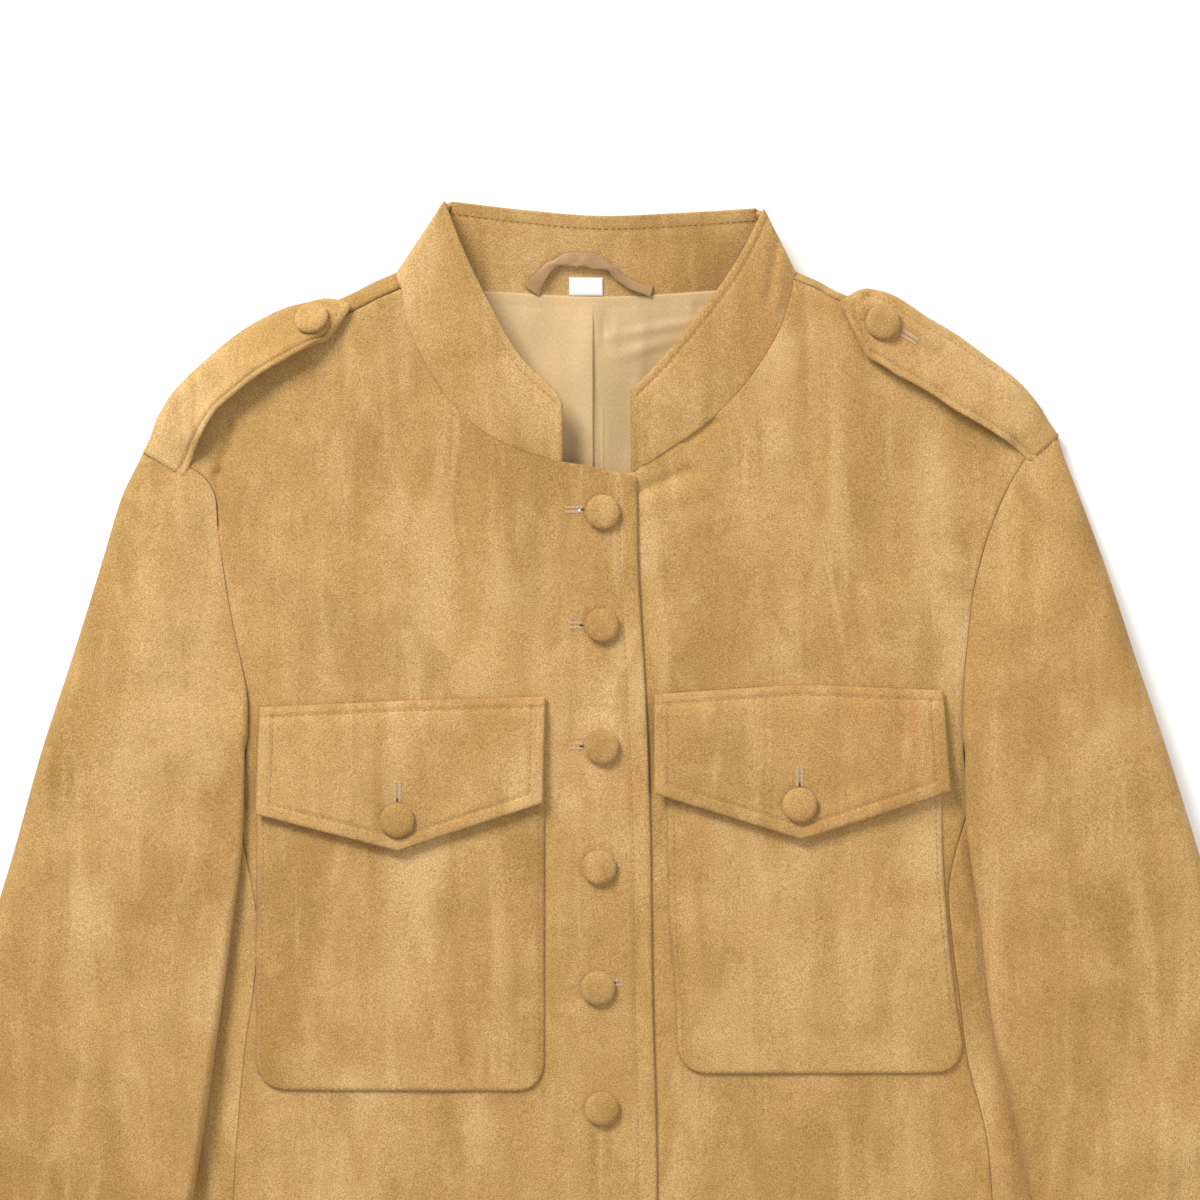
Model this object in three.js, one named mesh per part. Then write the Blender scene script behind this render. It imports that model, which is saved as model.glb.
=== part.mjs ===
// Suede jacket laid flat on its back with the front buttoned, in millimetres.
// +X is the viewer's right, +Y points to the collar, +Z points up from the surface it lies on.
import * as THREE from 'three';

// Driving sizes
const shoulderWidth = 430;
const suede = 1.5;
const doubled = 2.6;
const satin = 1.0;
const seamGap = 0.3;
const buttonRadius = 8.2;
const buttonHeight = 4.2;
const bodyLoftMiddle = 15;
const bodyLoftSide = 9.5;
const bodyFold = 8;
const sleeveLoft = 19;
const bodyLength = 602;
const strapWidth = 31.5;
const overlapRise = 2.0;

const plan = shoulderWidth / 430;
const collarPointY = 155.8;
const hemY = (collarPointY - bodyLength) * plan;
const underarmY = -116 * plan;

const clamp = (value, low = 0, high = 1) => Math.min(high, Math.max(low, value));
const mix = (a, b, share) => a + (b - a) * share;
const ease = (from, to, value) => {
  const share = clamp((value - from) / (to - from));
  return share * share * (3 - 2 * share);
};
// Height share of a rounded fold: 0 at the fold itself and 1 from one radius inwards.
const rounded = (share) => Math.sqrt(Math.max(0, 1 - (1 - clamp(share)) ** 2));
const steps = (count) => Array.from({ length: count + 1 }, (_, i) => i / count);
const between = (a, b, share) => [mix(a[0], b[0], share), mix(a[1], b[1], share)];
const span = (a, b) => Math.hypot(a[0] - b[0], a[1] - b[1]);

// A smooth curve through plan points, read by share of its length.
function curve(points) {
  const path = new THREE.CatmullRomCurve3(
    points.map(([x, y]) => new THREE.Vector3(x * plan, y * plan, 0)), false, 'centripetal');
  path.arcLengthDivisions = 400;
  const read = (share) => {
    const at = path.getPointAt(clamp(share));
    return [at.x, at.y];
  };
  read.length_mm = path.getLength();
  return read;
}

// Curves end to end: 0 to 1 reads the first, 1 to 2 the second, and so on.
const chain = (parts) => (place) => {
  const index = Math.min(parts.length - 1, Math.floor(place));
  return parts[index](place - index);
};

// Straight interpolation in a table of [place, value] rows; a value is a number or a plan point.
function table(rows) {
  return (place) => {
    let row = 0;
    while (row < rows.length - 2 && place > rows[row + 1][0]) row += 1;
    const [from, a] = rows[row];
    const [to, b] = rows[row + 1];
    const share = clamp((place - from) / (to - from));
    return Array.isArray(a) ? between(a, b, share) : mix(a, b, share);
  };
}

// A four-sided plan patch from its boundary curves; top and bottom run left to right.
const patch = (top, bottom, left, right) => (u, v) => {
  const [t, b, l, r] = [top(u), bottom(u), left(v), right(v)];
  const corners = [top(0), top(1), bottom(0), bottom(1)];
  return [0, 1].map((axis) => mix(t[axis], b[axis], v) + mix(l[axis], r[axis], u)
    - mix(mix(corners[0][axis], corners[1][axis], u), mix(corners[2][axis], corners[3][axis], u), v));
};

// Distance across a strip whose edges are rounded folds; the first and last fifth turn the fold.
const foldTurn = 0.2;
function across(u, width, startRadius, endRadius) {
  const turn = foldTurn;
  if (startRadius > 0 && u < turn) return startRadius * (1 - Math.cos((Math.PI / 2) * (u / turn)));
  if (endRadius > 0 && u > 1 - turn) {
    return width - endRadius * (1 - Math.cos((Math.PI / 2) * ((1 - u) / turn)));
  }
  const from = startRadius > 0 ? turn : 0;
  const to = endRadius > 0 ? 1 - turn : 1;
  return mix(Math.max(startRadius, 0), width - Math.max(endRadius, 0), (u - from) / (to - from));
}

// A closed cloth wall: the surface, its copy one thickness behind it, and the edges between.
function clothWall(columns, rows, surface, thickness, facing = 1, kept = () => true) {
  const points = [];
  const keys = new Map();
  const add = (p) => {
    const key = p.toArray().map((value) => value.toFixed(4)).join();
    if (!keys.has(key)) {
      keys.set(key, points.length);
      points.push(p);
    }
    return keys.get(key);
  };
  const at = (u, v) => new THREE.Vector3(...surface(u, v));
  const has = (i, j) => i >= 0 && j >= 0 && i < columns.length - 1 && j < rows.length - 1 && kept(i, j);
  const normalIn = (i, j, cellI, cellJ) => {
    const [u0, u1, v0, v1] = [columns[cellI], columns[cellI + 1], rows[cellJ], rows[cellJ + 1]];
    const u = mix(columns[i], (u0 + u1) / 2, 0.06);
    const v = mix(rows[j], (v0 + v1) / 2, 0.06);
    const du = (u1 - u0) * 0.02;
    const dv = (v1 - v0) * 0.02;
    const alongU = at(u + du, v).sub(at(u - du, v));
    const alongV = at(u, v + dv).sub(at(u, v - dv));
    return alongU.cross(alongV).normalize();
  };
  const outer = [];
  const inner = [];
  for (let j = 0; j < rows.length; j += 1) {
    for (let i = 0; i < columns.length; i += 1) {
      const normal = new THREE.Vector3();
      for (const [ci, cj] of [[i - 1, j - 1], [i, j - 1], [i - 1, j], [i, j]]) {
        if (has(ci, cj)) normal.add(normalIn(i, j, ci, cj));
      }
      const used = normal.length() > 0;
      const p = used ? at(columns[i], rows[j]) : null;
      outer.push(used ? add(p) : -1);
      const back = used ? normal.normalize().multiplyScalar(-thickness * facing) : null;
      inner.push(used ? add(p.clone().add(back)) : -1);
    }
  }
  const faces = [];
  const triangle = (a, b, c) => {
    if (a !== b && b !== c && a !== c) faces.push(...(facing > 0 ? [a, b, c] : [a, c, b]));
  };
  const quad = (a, b, c, d) => {
    if (points[a].distanceTo(points[c]) <= points[b].distanceTo(points[d])) {
      triangle(a, b, c);
      triangle(a, c, d);
    } else {
      triangle(a, b, d);
      triangle(b, c, d);
    }
  };
  const id = (i, j) => j * columns.length + i;
  for (let j = 0; j < rows.length - 1; j += 1) {
    for (let i = 0; i < columns.length - 1; i += 1) {
      if (!has(i, j)) continue;
      const ring = [id(i, j), id(i + 1, j), id(i + 1, j + 1), id(i, j + 1)];
      quad(...ring.map((k) => outer[k]));
      quad(...[...ring].reverse().map((k) => inner[k]));
      const open = [!has(i, j - 1), !has(i + 1, j), !has(i, j + 1), !has(i - 1, j)];
      open.forEach((isOpen, side) => {
        const [from, to] = [ring[side], ring[(side + 1) % 4]];
        if (isOpen) quad(outer[to], outer[from], inner[from], inner[to]);
      });
    }
  }
  return solid(points, faces);
}

function solid(points, faces) {
  const geometry = new THREE.BufferGeometry();
  geometry.setAttribute('position', new THREE.Float32BufferAttribute(points.flatMap((p) => p.toArray()), 3));
  geometry.setIndex(faces);
  return geometry;
}

const object = new THREE.Group();
const colours = { suede: 0xcc9f63, satin: 0xd8bb8b, white: 0xf8f6f4 };

function addPiece(name, geometry, cloth = 'suede') {
  geometry.computeVertexNormals();
  const material = new THREE.MeshStandardMaterial({
    color: colours[cloth], roughness: cloth === 'suede' ? 0.95 : 0.5, metalness: 0 });
  const mesh = new THREE.Mesh(geometry, material);
  mesh.name = name;
  object.add(mesh);
}

// Body outline and height

const bodyHalf = (y) => plan * (y > -250 * plan
  ? 210 + 5 * ((y / plan + 250) / 134) ** 2
  : 210 + 16 * ((y / plan + 250) / 196) ** 2);

const foldStops = 8;
const shoulderFold = {
  left: curve([[-213.5, 70.5], [-205.5, 83], [-196.5, 96.5], [-184, 110.5], [-168, 123.3],
    [-150, 133.2], [-132, 139.8], [-117, 146.3], [-109.3, 150.4], [-97, collarPointY]]),
  right: curve([[213.5, 77.5], [205, 86.5], [195, 98.5], [182, 111], [166, 123], [148, 133.4],
    [130, 140.5], [113, 146.6], [104, 151.6], [92.6, 156.3]]),
};
const seamDepth = { left: 8.4, right: 3.4 };
const sign = { left: -1, right: 1 };

// Place and inward direction on a shoulder fold; share runs from the sleeve to the neck.
function foldAt(side, share) {
  const here = shoulderFold[side](share);
  const before = shoulderFold[side](share - 0.02);
  const after = shoulderFold[side](share + 0.02);
  const run = span(before, after);
  const turn = sign[side];
  return { here, inward: [(turn * (before[1] - after[1])) / run, (turn * (after[0] - before[0])) / run] };
}
const insideFold = (side, share, depth) => {
  const { here, inward } = foldAt(side, share);
  return [here[0] + inward[0] * depth, here[1] + inward[1] * depth];
};

const foldPoints = { left: steps(60).map(shoulderFold.left), right: steps(60).map(shoulderFold.right) };
function shoulderDepth(x, y) {
  if (y < 40 * plan) return 1000;
  const points = x < 0 ? foldPoints.left : foldPoints.right;
  let least = 1000;
  for (let i = 0; i < points.length - 1; i += 1) {
    const [a, b] = [points[i], points[i + 1]];
    const run = span(a, b) ** 2;
    const share = clamp(((x - a[0]) * (b[0] - a[0]) + (y - a[1]) * (b[1] - a[1])) / run);
    least = Math.min(least, span([x, y], between(a, b, share)));
  }
  return least;
}

const loft = (x) => bodyLoftSide + (bodyLoftMiddle - bodyLoftSide) * ease(205 * plan, 110 * plan, Math.abs(x));

// Broad soft folds of the fronts: from, to, half width and height.
const bodyFolds = [
  { x1: -160, y1: 20, x2: -60, y2: -40, wide: 15, high: 1.2 },
  { x1: 160, y1: 0, x2: 70, y2: -30, wide: 16, high: 1.1 },
  { x1: -120, y1: 90, x2: -95, y2: 0, wide: 14, high: 1.0 },
  { x1: 110, y1: 95, x2: 90, y2: 10, wide: 15, high: -0.9 },
  { x1: -100, y1: -250, x2: -110, y2: -430, wide: 18, high: 1.5 },
  { x1: 100, y1: -240, x2: 118, y2: -420, wide: 17, high: 1.3 },
];
function ripple(x, y) {
  return bodyFolds.reduce((sum, fold) => {
    const [a, b] = [[fold.x1 * plan, fold.y1 * plan], [fold.x2 * plan, fold.y2 * plan]];
    const run = span(a, b) ** 2;
    const place = ((x - a[0]) * (b[0] - a[0]) + (y - a[1]) * (b[1] - a[1])) / run;
    const away = span([x, y], between(a, b, clamp(place)));
    return sum + fold.high * Math.exp(-((away / fold.wide) ** 2));
  }, 0);
}

function bodyTop(x, y) {
  const side = rounded((bodyHalf(Math.min(y, underarmY)) - Math.abs(x)) / bodyFold);
  const open = y > underarmY ? 1 : side;
  const share = open * rounded(shoulderDepth(x, y) / bodyFold);
  return loft(x) * (0.5 + 0.5 * share) + ripple(x, y) * ease(0, 0.9, share);
}
// The viewer's left front lies on the right one along the buttons.
const frontTop = (x, y, side) => bodyTop(x, y)
  + (side === 'left' ? overlapRise * ease(-90 * plan, -28 * plan, x) : 0);

// Seams of the fronts; each row reads both edges at the same place.
const seams = {
  left: {
    armhole: curve([[-206.4, 67.5], [-197, 63.5], [-188.5, 58.5], [-183.4, 50.4], [-181.5, 31.8],
      [-176.7, 0], [-168.6, -45.6], [-168.6, -72.7]]),
    underSleeve: curve([[-168.6, -72.7], [-171, -84], [-174.5, -94]]),
    side: curve([[-174.5, -94], [-169.6, -116.4], [-162.5, -154.4], [-164.5, -185], [-168.6, -212.8],
      [-172, -250], [-174.3, -285], [-178, -360], [-183, hemY / plan]]),
    neck: curve([[-93.6, 148.1], [-92.2, 135.4], [-81.2, 110.2], [-67, 90.3], [-47, 75.5], [-17.6, 65.6]]),
    extension: curve([[-17.6, 65.6], [0, 62.7], [17.6, 58]]),
    edge: curve([[17.6, 58], [18.5, 11.9], [20.4, -22.8], [22.8, -68.9], [23.8, -104.5], [24.5, -150.6],
      [25.2, -196.7], [26.6, -242.8], [27.1, -285], [28, -360], [28.5, hemY / plan - 4]]),
  },
  right: {
    armhole: curve([[210, 76], [201.4, 66], [190, 44.7], [179.1, 11.4], [174.8, -21.9], [173.2, -72.7]]),
    underSleeve: curve([[173.2, -72.7], [174.6, -84], [177.5, -95]]),
    side: curve([[177.5, -95], [172.9, -107.4], [167.7, -125.4], [165.8, -138.2], [167.7, -163.4],
      [171.5, -192.9], [174.8, -218.1], [183.8, -254.6], [186.7, -285], [190, -360], [195, hemY / plan]]),
    neck: curve([[91.8, 151.5], [85, 128.7], [73.2, 109.3], [56.5, 89.8], [41.3, 78.9], [17.1, 63.7]]),
    extension: curve([[17.1, 63.7], [2, 59], [-18, 55]]),
    edge: curve([[-18, 55], [-19, 0], [-20.5, -100], [-21, -200], [-22, -300], [-22.5, hemY / plan - 4]]),
  },
};
const frontRows = [0, 0.04, 0.08, 0.12, 0.16, 0.2, 0.24, 0.27, 0.3, 0.34, 0.38, 0.415, 0.45, 0.475, 0.5,
  0.55, 0.6, 0.65, 0.7, 0.75, 0.8, 0.85, 0.9, 0.95, 1];
const neckEndRow = frontRows.indexOf(0.24);
const armholeEndRow = frontRows.indexOf(0.45);
const sideStartRow = frontRows.indexOf(0.5);
const outerPlace = table([[0, 0], [0.24, 0.28], [0.3, 0.42], [0.45, 1], [0.5, 2], [1, 3]]);
const innerPlace = table([[0, 0], [0.24, 1], [0.3, 2], [0.45, 2.17], [0.5, 2.235], [1, 3]]);

const armholePoints = {};
const neckPoints = {};
for (const side of ['left', 'right']) {
  const { armhole, underSleeve, side: sideSeam, neck, extension, edge } = seams[side];
  const outerEdge = chain([armhole, underSleeve, sideSeam]);
  const innerEdge = chain([neck, extension, edge]);
  const outerPoints = frontRows.map((v) => outerEdge(outerPlace(v)));
  const innerPoints = frontRows.map((v) => innerEdge(innerPlace(v)));
  const shoulderPoints = steps(foldStops).map((share) => insideFold(side, share, seamDepth[side]));
  outerPoints[0] = shoulderPoints[0];
  innerPoints[0] = shoulderPoints[foldStops];
  armholePoints[side] = outerPoints.slice(0, armholeEndRow + 1);
  neckPoints[side] = innerPoints.slice(0, neckEndRow + 1);
  const outerLine = table(frontRows.map((v, i) => [v, outerPoints[i]]));
  const innerLine = table(frontRows.map((v, i) => [v, innerPoints[i]]));
  const shoulderLine = table(steps(foldStops).map((share, i) => [share, shoulderPoints[i]]));
  const bottom = outerLine(1);
  const bottomInner = innerLine(1);
  const hem = (u) => between(bottom, bottomInner, u);
  const front = patch(shoulderLine, hem, outerLine, innerLine);
  const facing = side === 'left' ? -1 : 1;
  const inset = 0.0016;
  const columns = steps(foldStops).map((u) => clamp(u, inset, 1 - inset));
  const rows = frontRows.map((v) => clamp(v, 0.0008, 1));
  const surface = (u, v) => {
    const [x, y] = front(u, v);
    return [x, y, frontTop(x, y, side)];
  };
  addPiece(`front_${side}`, clothWall(columns, rows, surface, suede, facing));

  // Side panel of the front, from its seam round to the side fold.
  const turn = sign[side];
  const sideRows = frontRows.slice(sideStartRow);
  const foldLine = (v) => {
    const y = mix(underarmY, hemY, (v - 0.5) / 0.5);
    return [turn * bodyHalf(y), y];
  };
  const topCurve = curve([foldLine(0.5), [turn * 195, -110], [outerPoints[sideStartRow][0], -94]]
    .map(([x, y]) => [x / plan, y / plan]));
  const topLine = (u) => between(topCurve(u), outerPoints[sideStartRow], u ** 8);
  const panel = patch(topLine, (u) => between(foldLine(1), bottom, u),
    (w) => foldLine(0.5 + w / 2), (w) => outerLine(0.5 + w / 2));
  const sideSurface = (u, v) => {
    const w = (v - 0.5) * 2;
    const width = span(foldLine(v), outerLine(v));
    const [x, y] = panel(across(u, width, bodyFold, 0) / width, w);
    return [x, y, bodyTop(x, y)];
  };
  const sideColumns = [0.018, 0.05, 0.1, 0.15, 0.2, 0.45, 0.72, 1 - 0.3 / 28];
  const sideRowsInset = sideRows.map((v) => clamp(v, 0.506, 1));
  addPiece(`side_${side}`, clothWall(sideColumns, sideRowsInset, sideSurface, suede, facing));
}

// Back panel: flat on the surface, over each shoulder fold to the forward shoulder seam.
const backArmhole = {
  left: curve([[-207, 67.5], [-196, 42], [-189, 10], [-187, -30], [-192, -70], [-203, -98], [-215, -116]]),
  right: curve([[207, 71.5], [195, 42], [188, 10], [186, -30], [191, -70], [203, -98], [215, -116]]),
};
const backNeckStops = 10;
const backNeck = curve([[-93.6, 148.5], [-54, 146.8], [0, 144.2], [52, 146.8], [89.6, 149]]);
const backNeckPoints = steps(backNeckStops).map(backNeck);
backNeckPoints[0] = insideFold('left', 1, bodyFold);
backNeckPoints[backNeckStops] = insideFold('right', 1, bodyFold);
const backTopPoints = [
  ...steps(foldStops).map((share) => insideFold('left', share, bodyFold)),
  ...backNeckPoints.slice(1, -1),
  ...steps(foldStops).reverse().map((share) => insideFold('right', share, bodyFold)),
];
const backStops = backTopPoints.length - 1;
const neckStart = foldStops;
const neckEnd = foldStops + backNeckStops;
const armholeRows = 8;
const backArmholePoints = {};
for (const side of ['left', 'right']) {
  backArmholePoints[side] = steps(armholeRows).map(backArmhole[side]);
  backArmholePoints[side][0] = insideFold(side, 0, bodyFold);
  backArmholePoints[side][armholeRows] = [sign[side] * bodyHalf(underarmY), underarmY];
}
{
  const hemRows = 9;
  const armShare = 0.36;
  const armholeLine = (side) => table(steps(armholeRows).map((s, i) => [s, backArmholePoints[side][i]]));
  const sideLine = (side) => (v) => {
    if (v <= armShare) return armholeLine(side)(v / armShare);
    const y = mix(underarmY, hemY, (v - armShare) / (1 - armShare));
    return [sign[side] * bodyHalf(y), y];
  };
  const topLine = table(backTopPoints.map((point, i) => [i / backStops, point]));
  const hemHalf = bodyHalf(hemY);
  const hemLine = (u) => [mix(-hemHalf, hemHalf, u), hemY - 4 * plan * Math.sin(Math.PI * u)];
  const back = patch(topLine, hemLine, sideLine('left'), sideLine('right'));
  const flatRows = [...steps(armholeRows).map((s) => s * armShare),
    ...steps(hemRows).slice(1).map((s) => mix(armShare, 1, s))];
  // Rows -1 to 0 turn over the shoulder fold; rows 0 to 1 lie flat.
  const wrap = [-1, -0.83, -0.66, -0.5, -0.33, -0.16];
  const surface = (u, v) => {
    if (v >= 0) {
      // Below the underarm the outermost cells are drawn in to the side fold.
      const small = 1 / backStops;
      const edge = Math.min(u, 1 - u);
      const width = 2 * bodyHalf(underarmY);
      const squeeze = ease(armShare - 0.12, armShare, v);
      const drawn = edge < small ? across(foldTurn * (edge / small), width, bodyFold, 0) / width
        : mix(bodyFold / width, 0.5, (edge - small) / (0.5 - small));
      const near = mix(edge, drawn, squeeze);
      const [x, y] = back(u < 0.5 ? near : 1 - near, v);
      const side = rounded((bodyHalf(Math.min(y, underarmY)) - Math.abs(x)) / bodyFold);
      const open = mix(1, side, ease(underarmY + 30 * plan, underarmY, y));
      return [x, y, loft(x) * (0.5 - 0.5 * open)];
    }
    const left = u < 0.5;
    const side = left ? 'left' : 'right';
    const stop = left ? u * backStops : (1 - u) * backStops;
    const share = clamp(stop / foldStops);
    const from = Math.asin(clamp(1 - seamDepth[side] / bodyFold));
    const angle = mix(from, Math.PI, v + 1);
    const low = Math.floor(share * foldStops);
    const high = Math.min(foldStops, low + 1);
    const depth = bodyFold * (1 - Math.sin(angle));
    const [a, b] = [low, high].map((index) => insideFold(side, index / foldStops, depth));
    const [x, y] = between(a, b, share * foldStops - low);
    return [x, y, loft(x) * (0.5 + 0.5 * Math.cos(angle))];
  };
  const columns = steps(backStops);
  for (const part of [0.3, 0.6]) columns.push(part / backStops, 1 - part / backStops);
  columns.sort((a, b) => a - b);
  columns[0] = 0.0012;
  columns[columns.length - 1] = 1 - 0.0012;
  const rows = [...wrap.map((v) => Math.max(v, -0.985)), ...flatRows];
  const first = columns.findIndex((u) => Math.abs(u - neckStart / backStops) < 1e-9);
  const last = columns.findIndex((u) => Math.abs(u - neckEnd / backStops) < 1e-9);
  const kept = (i, j) => j >= wrap.length || i < first || i >= last;
  addPiece('back_panel', clothWall(columns, rows, surface, suede, 1, kept));
}

// Sleeves, in two pieces with the seams at the outer and inner folds.
const sleeveLines = {
  left: {
    outer: curve([[-214.2, 69.5], [-217.6, 62.8], [-223.8, 49], [-233.4, 14.3], [-247.5, -28.5],
      [-264.1, -71.3], [-281.2, -128.3], [-306, -205], [-330, -285], [-352, -375], [-371, -484]]),
    inner: curve([[-168.6, -72.7], [-169.6, -116.4], [-174.3, -154.4], [-180.5, -200], [-193.3, -285],
      [-213, -370], [-248, -515]]),
  },
  right: {
    outer: curve([[214.4, 76.5], [218.5, 68], [225.2, 50], [236, 14.3], [250.4, -28.5], [264.1, -67],
      [282.7, -122], [309, -200], [339, -290], [362, -375], [383, -482]]),
    inner: curve([[173.2, -72.7], [173.9, -107.4], [180.5, -154.4], [184.1, -187.2], [189.5, -218.1],
      [196.7, -245.6], [205, -285], [226, -370], [262, -513]]),
  },
};
const sleeveFold = { outer: 9, inner: 4 };
const crown = { left: 165, right: 172 };
const backCrown = 190;
const underStart = 12;
const lowerRows = 10;
const liftLimit = 5.2;
const sleeveClearance = 0.9;

// Height that carries a sleeve: the surface, rising to clear the body's side.
const bodySupport = (x, y) => {
  const depth = bodyHalf(Math.min(y, underarmY)) - Math.abs(x);
  return (Math.max(bodyTop(x, y), loft(x)) + sleeveClearance) * ease(-22, -1.5, depth);
};
const innerHalf = (run) => mix(2.2, 5.5, ease(0, 160, run));
const crest = (run) => mix(bodyLoftSide, sleeveLoft, ease(0, 120, run)) - 3 * ease(420, 580, run);

for (const side of ['left', 'right']) {
  const { outer, inner } = sleeveLines[side];
  const turn = sign[side];
  const facing = side === 'left' ? -1 : 1;
  const pole = [outer(0)[0] + turn * 1.2, outer(0)[1] - 1.2];
  const outerMm = outer.length_mm;
  const innerMm = inner.length_mm;

  // Upper piece: a point at the shoulder, then down the armhole seam and the inner fold.
  const armhole = armholePoints[side];
  const outerRead = (run) => outer(run / outerMm);
  const topRows = [{ run: 0, outer: pole, inner: pole, past: -1000 }];
  let passed = 8;
  const armMm = armhole.reduce((sum, point, i) => sum + (i ? span(point, armhole[i - 1]) : 8), 0);
  armhole.forEach((point, i) => {
    passed += i ? span(point, armhole[i - 1]) : 0;
    const run = crown[side] * (passed / armMm);
    const away = [point[0] + turn * (i === 0 ? 0.7 : 0.35), point[1] - (i < 3 ? 0.25 : 0)];
    topRows.push({ run, outer: outerRead(run), inner: away, past: passed - armMm });
  });
  for (const share of steps(lowerRows).slice(1)) {
    const run = mix(crown[side], outerMm, share);
    topRows.push({ run, outer: outerRead(run), inner: inner(share), past: share * innerMm });
  }
  const last = topRows.length - 1;
  const read = (name) => table(topRows.map((row, i) => [i / last, row[name]]));
  const lines = { outer: read('outer'), inner: read('inner'), run: read('run'), past: read('past') };
  const topSurface = (u, v) => {
    const [a, b] = [lines.outer(v), lines.inner(v)];
    const width = span(a, b);
    const radius = Math.min(sleeveFold.outer, 0.45 * width);
    const tuck = Math.min(sleeveFold.inner, 0.2 * width);
    const distance = across(u, width, radius, tuck);
    const [x, y] = between(a, b, width > 0 ? distance / width : 0);
    const past = lines.past(v);
    const high = crest(lines.run(v));
    const half = innerHalf(Math.max(past, 0));
    const base = bodySupport(b[0], b[1]);
    const seam = bodyTop(b[0], b[1]) + liftLimit * ease(-62, -4, past);
    const start = bodyTop(b[0], b[1]) + liftLimit;
    const innerTop = past < 0 ? seam : mix(start, base + 2 * half, ease(0, 12, past));
    const middle = mix(innerTop, high, ease(0, 0.55 * Math.max(width, 1), width - distance));
    const outerDrop = (1 - rounded(radius > 0 ? distance / radius : 0)) * high / 2;
    const innerDrop = (1 - rounded(tuck > 0 ? (width - distance) / tuck : 0)) * half * ease(-30, 0, past);
    return [x, y, middle - outerDrop - innerDrop];
  };
  const topColumns = [0.006, 0.05, 0.1, 0.15, 0.2, 0.32, 0.44, 0.56, 0.68, 0.8, 0.87, 0.94, 0.994];
  const topPlaces = topRows.map((row, i) => i / last);
  addPiece(`sleeve_${side}_top`, clothWall(topColumns, topPlaces, topSurface, suede, facing));

  // Under piece: along the back armhole to the underarm, then past the side of the body.
  const backRows = backArmholePoints[side].map((point, i) => {
    const share = i / armholeRows;
    const run = mix(underStart, backCrown, share);
    return { run, outer: outerRead(run), middle: [point[0] + turn * 0.7, point[1] - (i ? 0 : 0.6)] };
  });
  const underarm = backRows[armholeRows].middle;
  const middleLine = curve([underarm, [turn * 214.5, -150], [turn * 217, -200], [turn * 226, -285],
    [turn * 246, -370], [turn * 281, -506]].map(([x, y], i) => (i ? [x, y] : [x / plan, y / plan])));
  const skip = 0.05;
  for (const share of steps(lowerRows).slice(1)) {
    const run = mix(backCrown, outerMm, share);
    backRows.push({ run, outer: outerRead(run), middle: middleLine(share) });
  }
  const lastBack = backRows.length - 1;
  const readBack = (name) => table(backRows.map((row, i) => [i / lastBack, row[name]]));
  const underLines = { outer: readBack('outer'), middle: readBack('middle'), run: readBack('run') };
  const startShare = armholeRows / lastBack;
  const innerLine = (w) => inner(mix(skip, 1, w));
  const underSeam = curve([underarm, [turn * 196, -111], [turn * 180, -101], inner(skip)]
    .map(([x, y], i) => (i === 0 || i === 3 ? [x / plan, y / plan] : [x, y])));
  const cuffMiddle = middleLine(1);
  const innerPatch = patch(underSeam, (u) => between(cuffMiddle, inner(1), u), middleLine, innerLine);
  const split = 0.6;
  const underSurface = (u, v) => {
    const run = underLines.run(v);
    const high = crest(run);
    let point;
    let lift = 0;
    if (u <= split || v < startShare) {
      const [a, b] = [underLines.outer(v), underLines.middle(v)];
      const width = span(a, b);
      const radius = Math.min(sleeveFold.outer, 0.45 * width);
      const exact = u / split < 0.25 ? across(u / split * 0.8, width, radius, 0)
        : mix(radius, width, (u / split - 0.25) / 0.75);
      point = between(a, b, width > 0 ? clamp(exact / width) : 0);
      lift = (1 - rounded(radius > 0 ? exact / radius : 0)) * high / 2;
    } else {
      const w = (v - startShare) / (1 - startShare);
      const part = (u - split) / (1 - split);
      const [a, b] = [middleLine(w), innerLine(w)];
      const width = span(a, b);
      const tuck = Math.min(sleeveFold.inner, 0.2 * width);
      const distance = across(part, width, 0, tuck);
      point = innerPatch(distance / width, w);
      const past = mix(skip, 1, w) * innerMm;
      lift = (1 - rounded(tuck > 0 ? (width - distance) / tuck : 0)) * innerHalf(past);
    }
    const [x, y] = point;
    const underBack = 0.45 * ease(startShare - 0.035, startShare, v) * ease(split - 0.12, split, u);
    return [x, y, bodySupport(x, y) * (v < startShare ? underBack : 1) + lift];
  };
  const underColumns = [0.004, 0.05, 0.1, 0.15, 0.26, 0.36, 0.44, 0.5, 0.55, split, 0.7, 0.8, 0.92, 0.96,
    0.996];
  const splitIndex = underColumns.indexOf(split);
  const underPlaces = backRows.map((row, i) => i / lastBack);
  const keptUnder = (i, j) => i < splitIndex || j >= armholeRows;
  const under = clothWall(underColumns, underPlaces, underSurface, suede, -facing, keptUnder);
  addPiece(`sleeve_${side}_under`, under);
}

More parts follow.
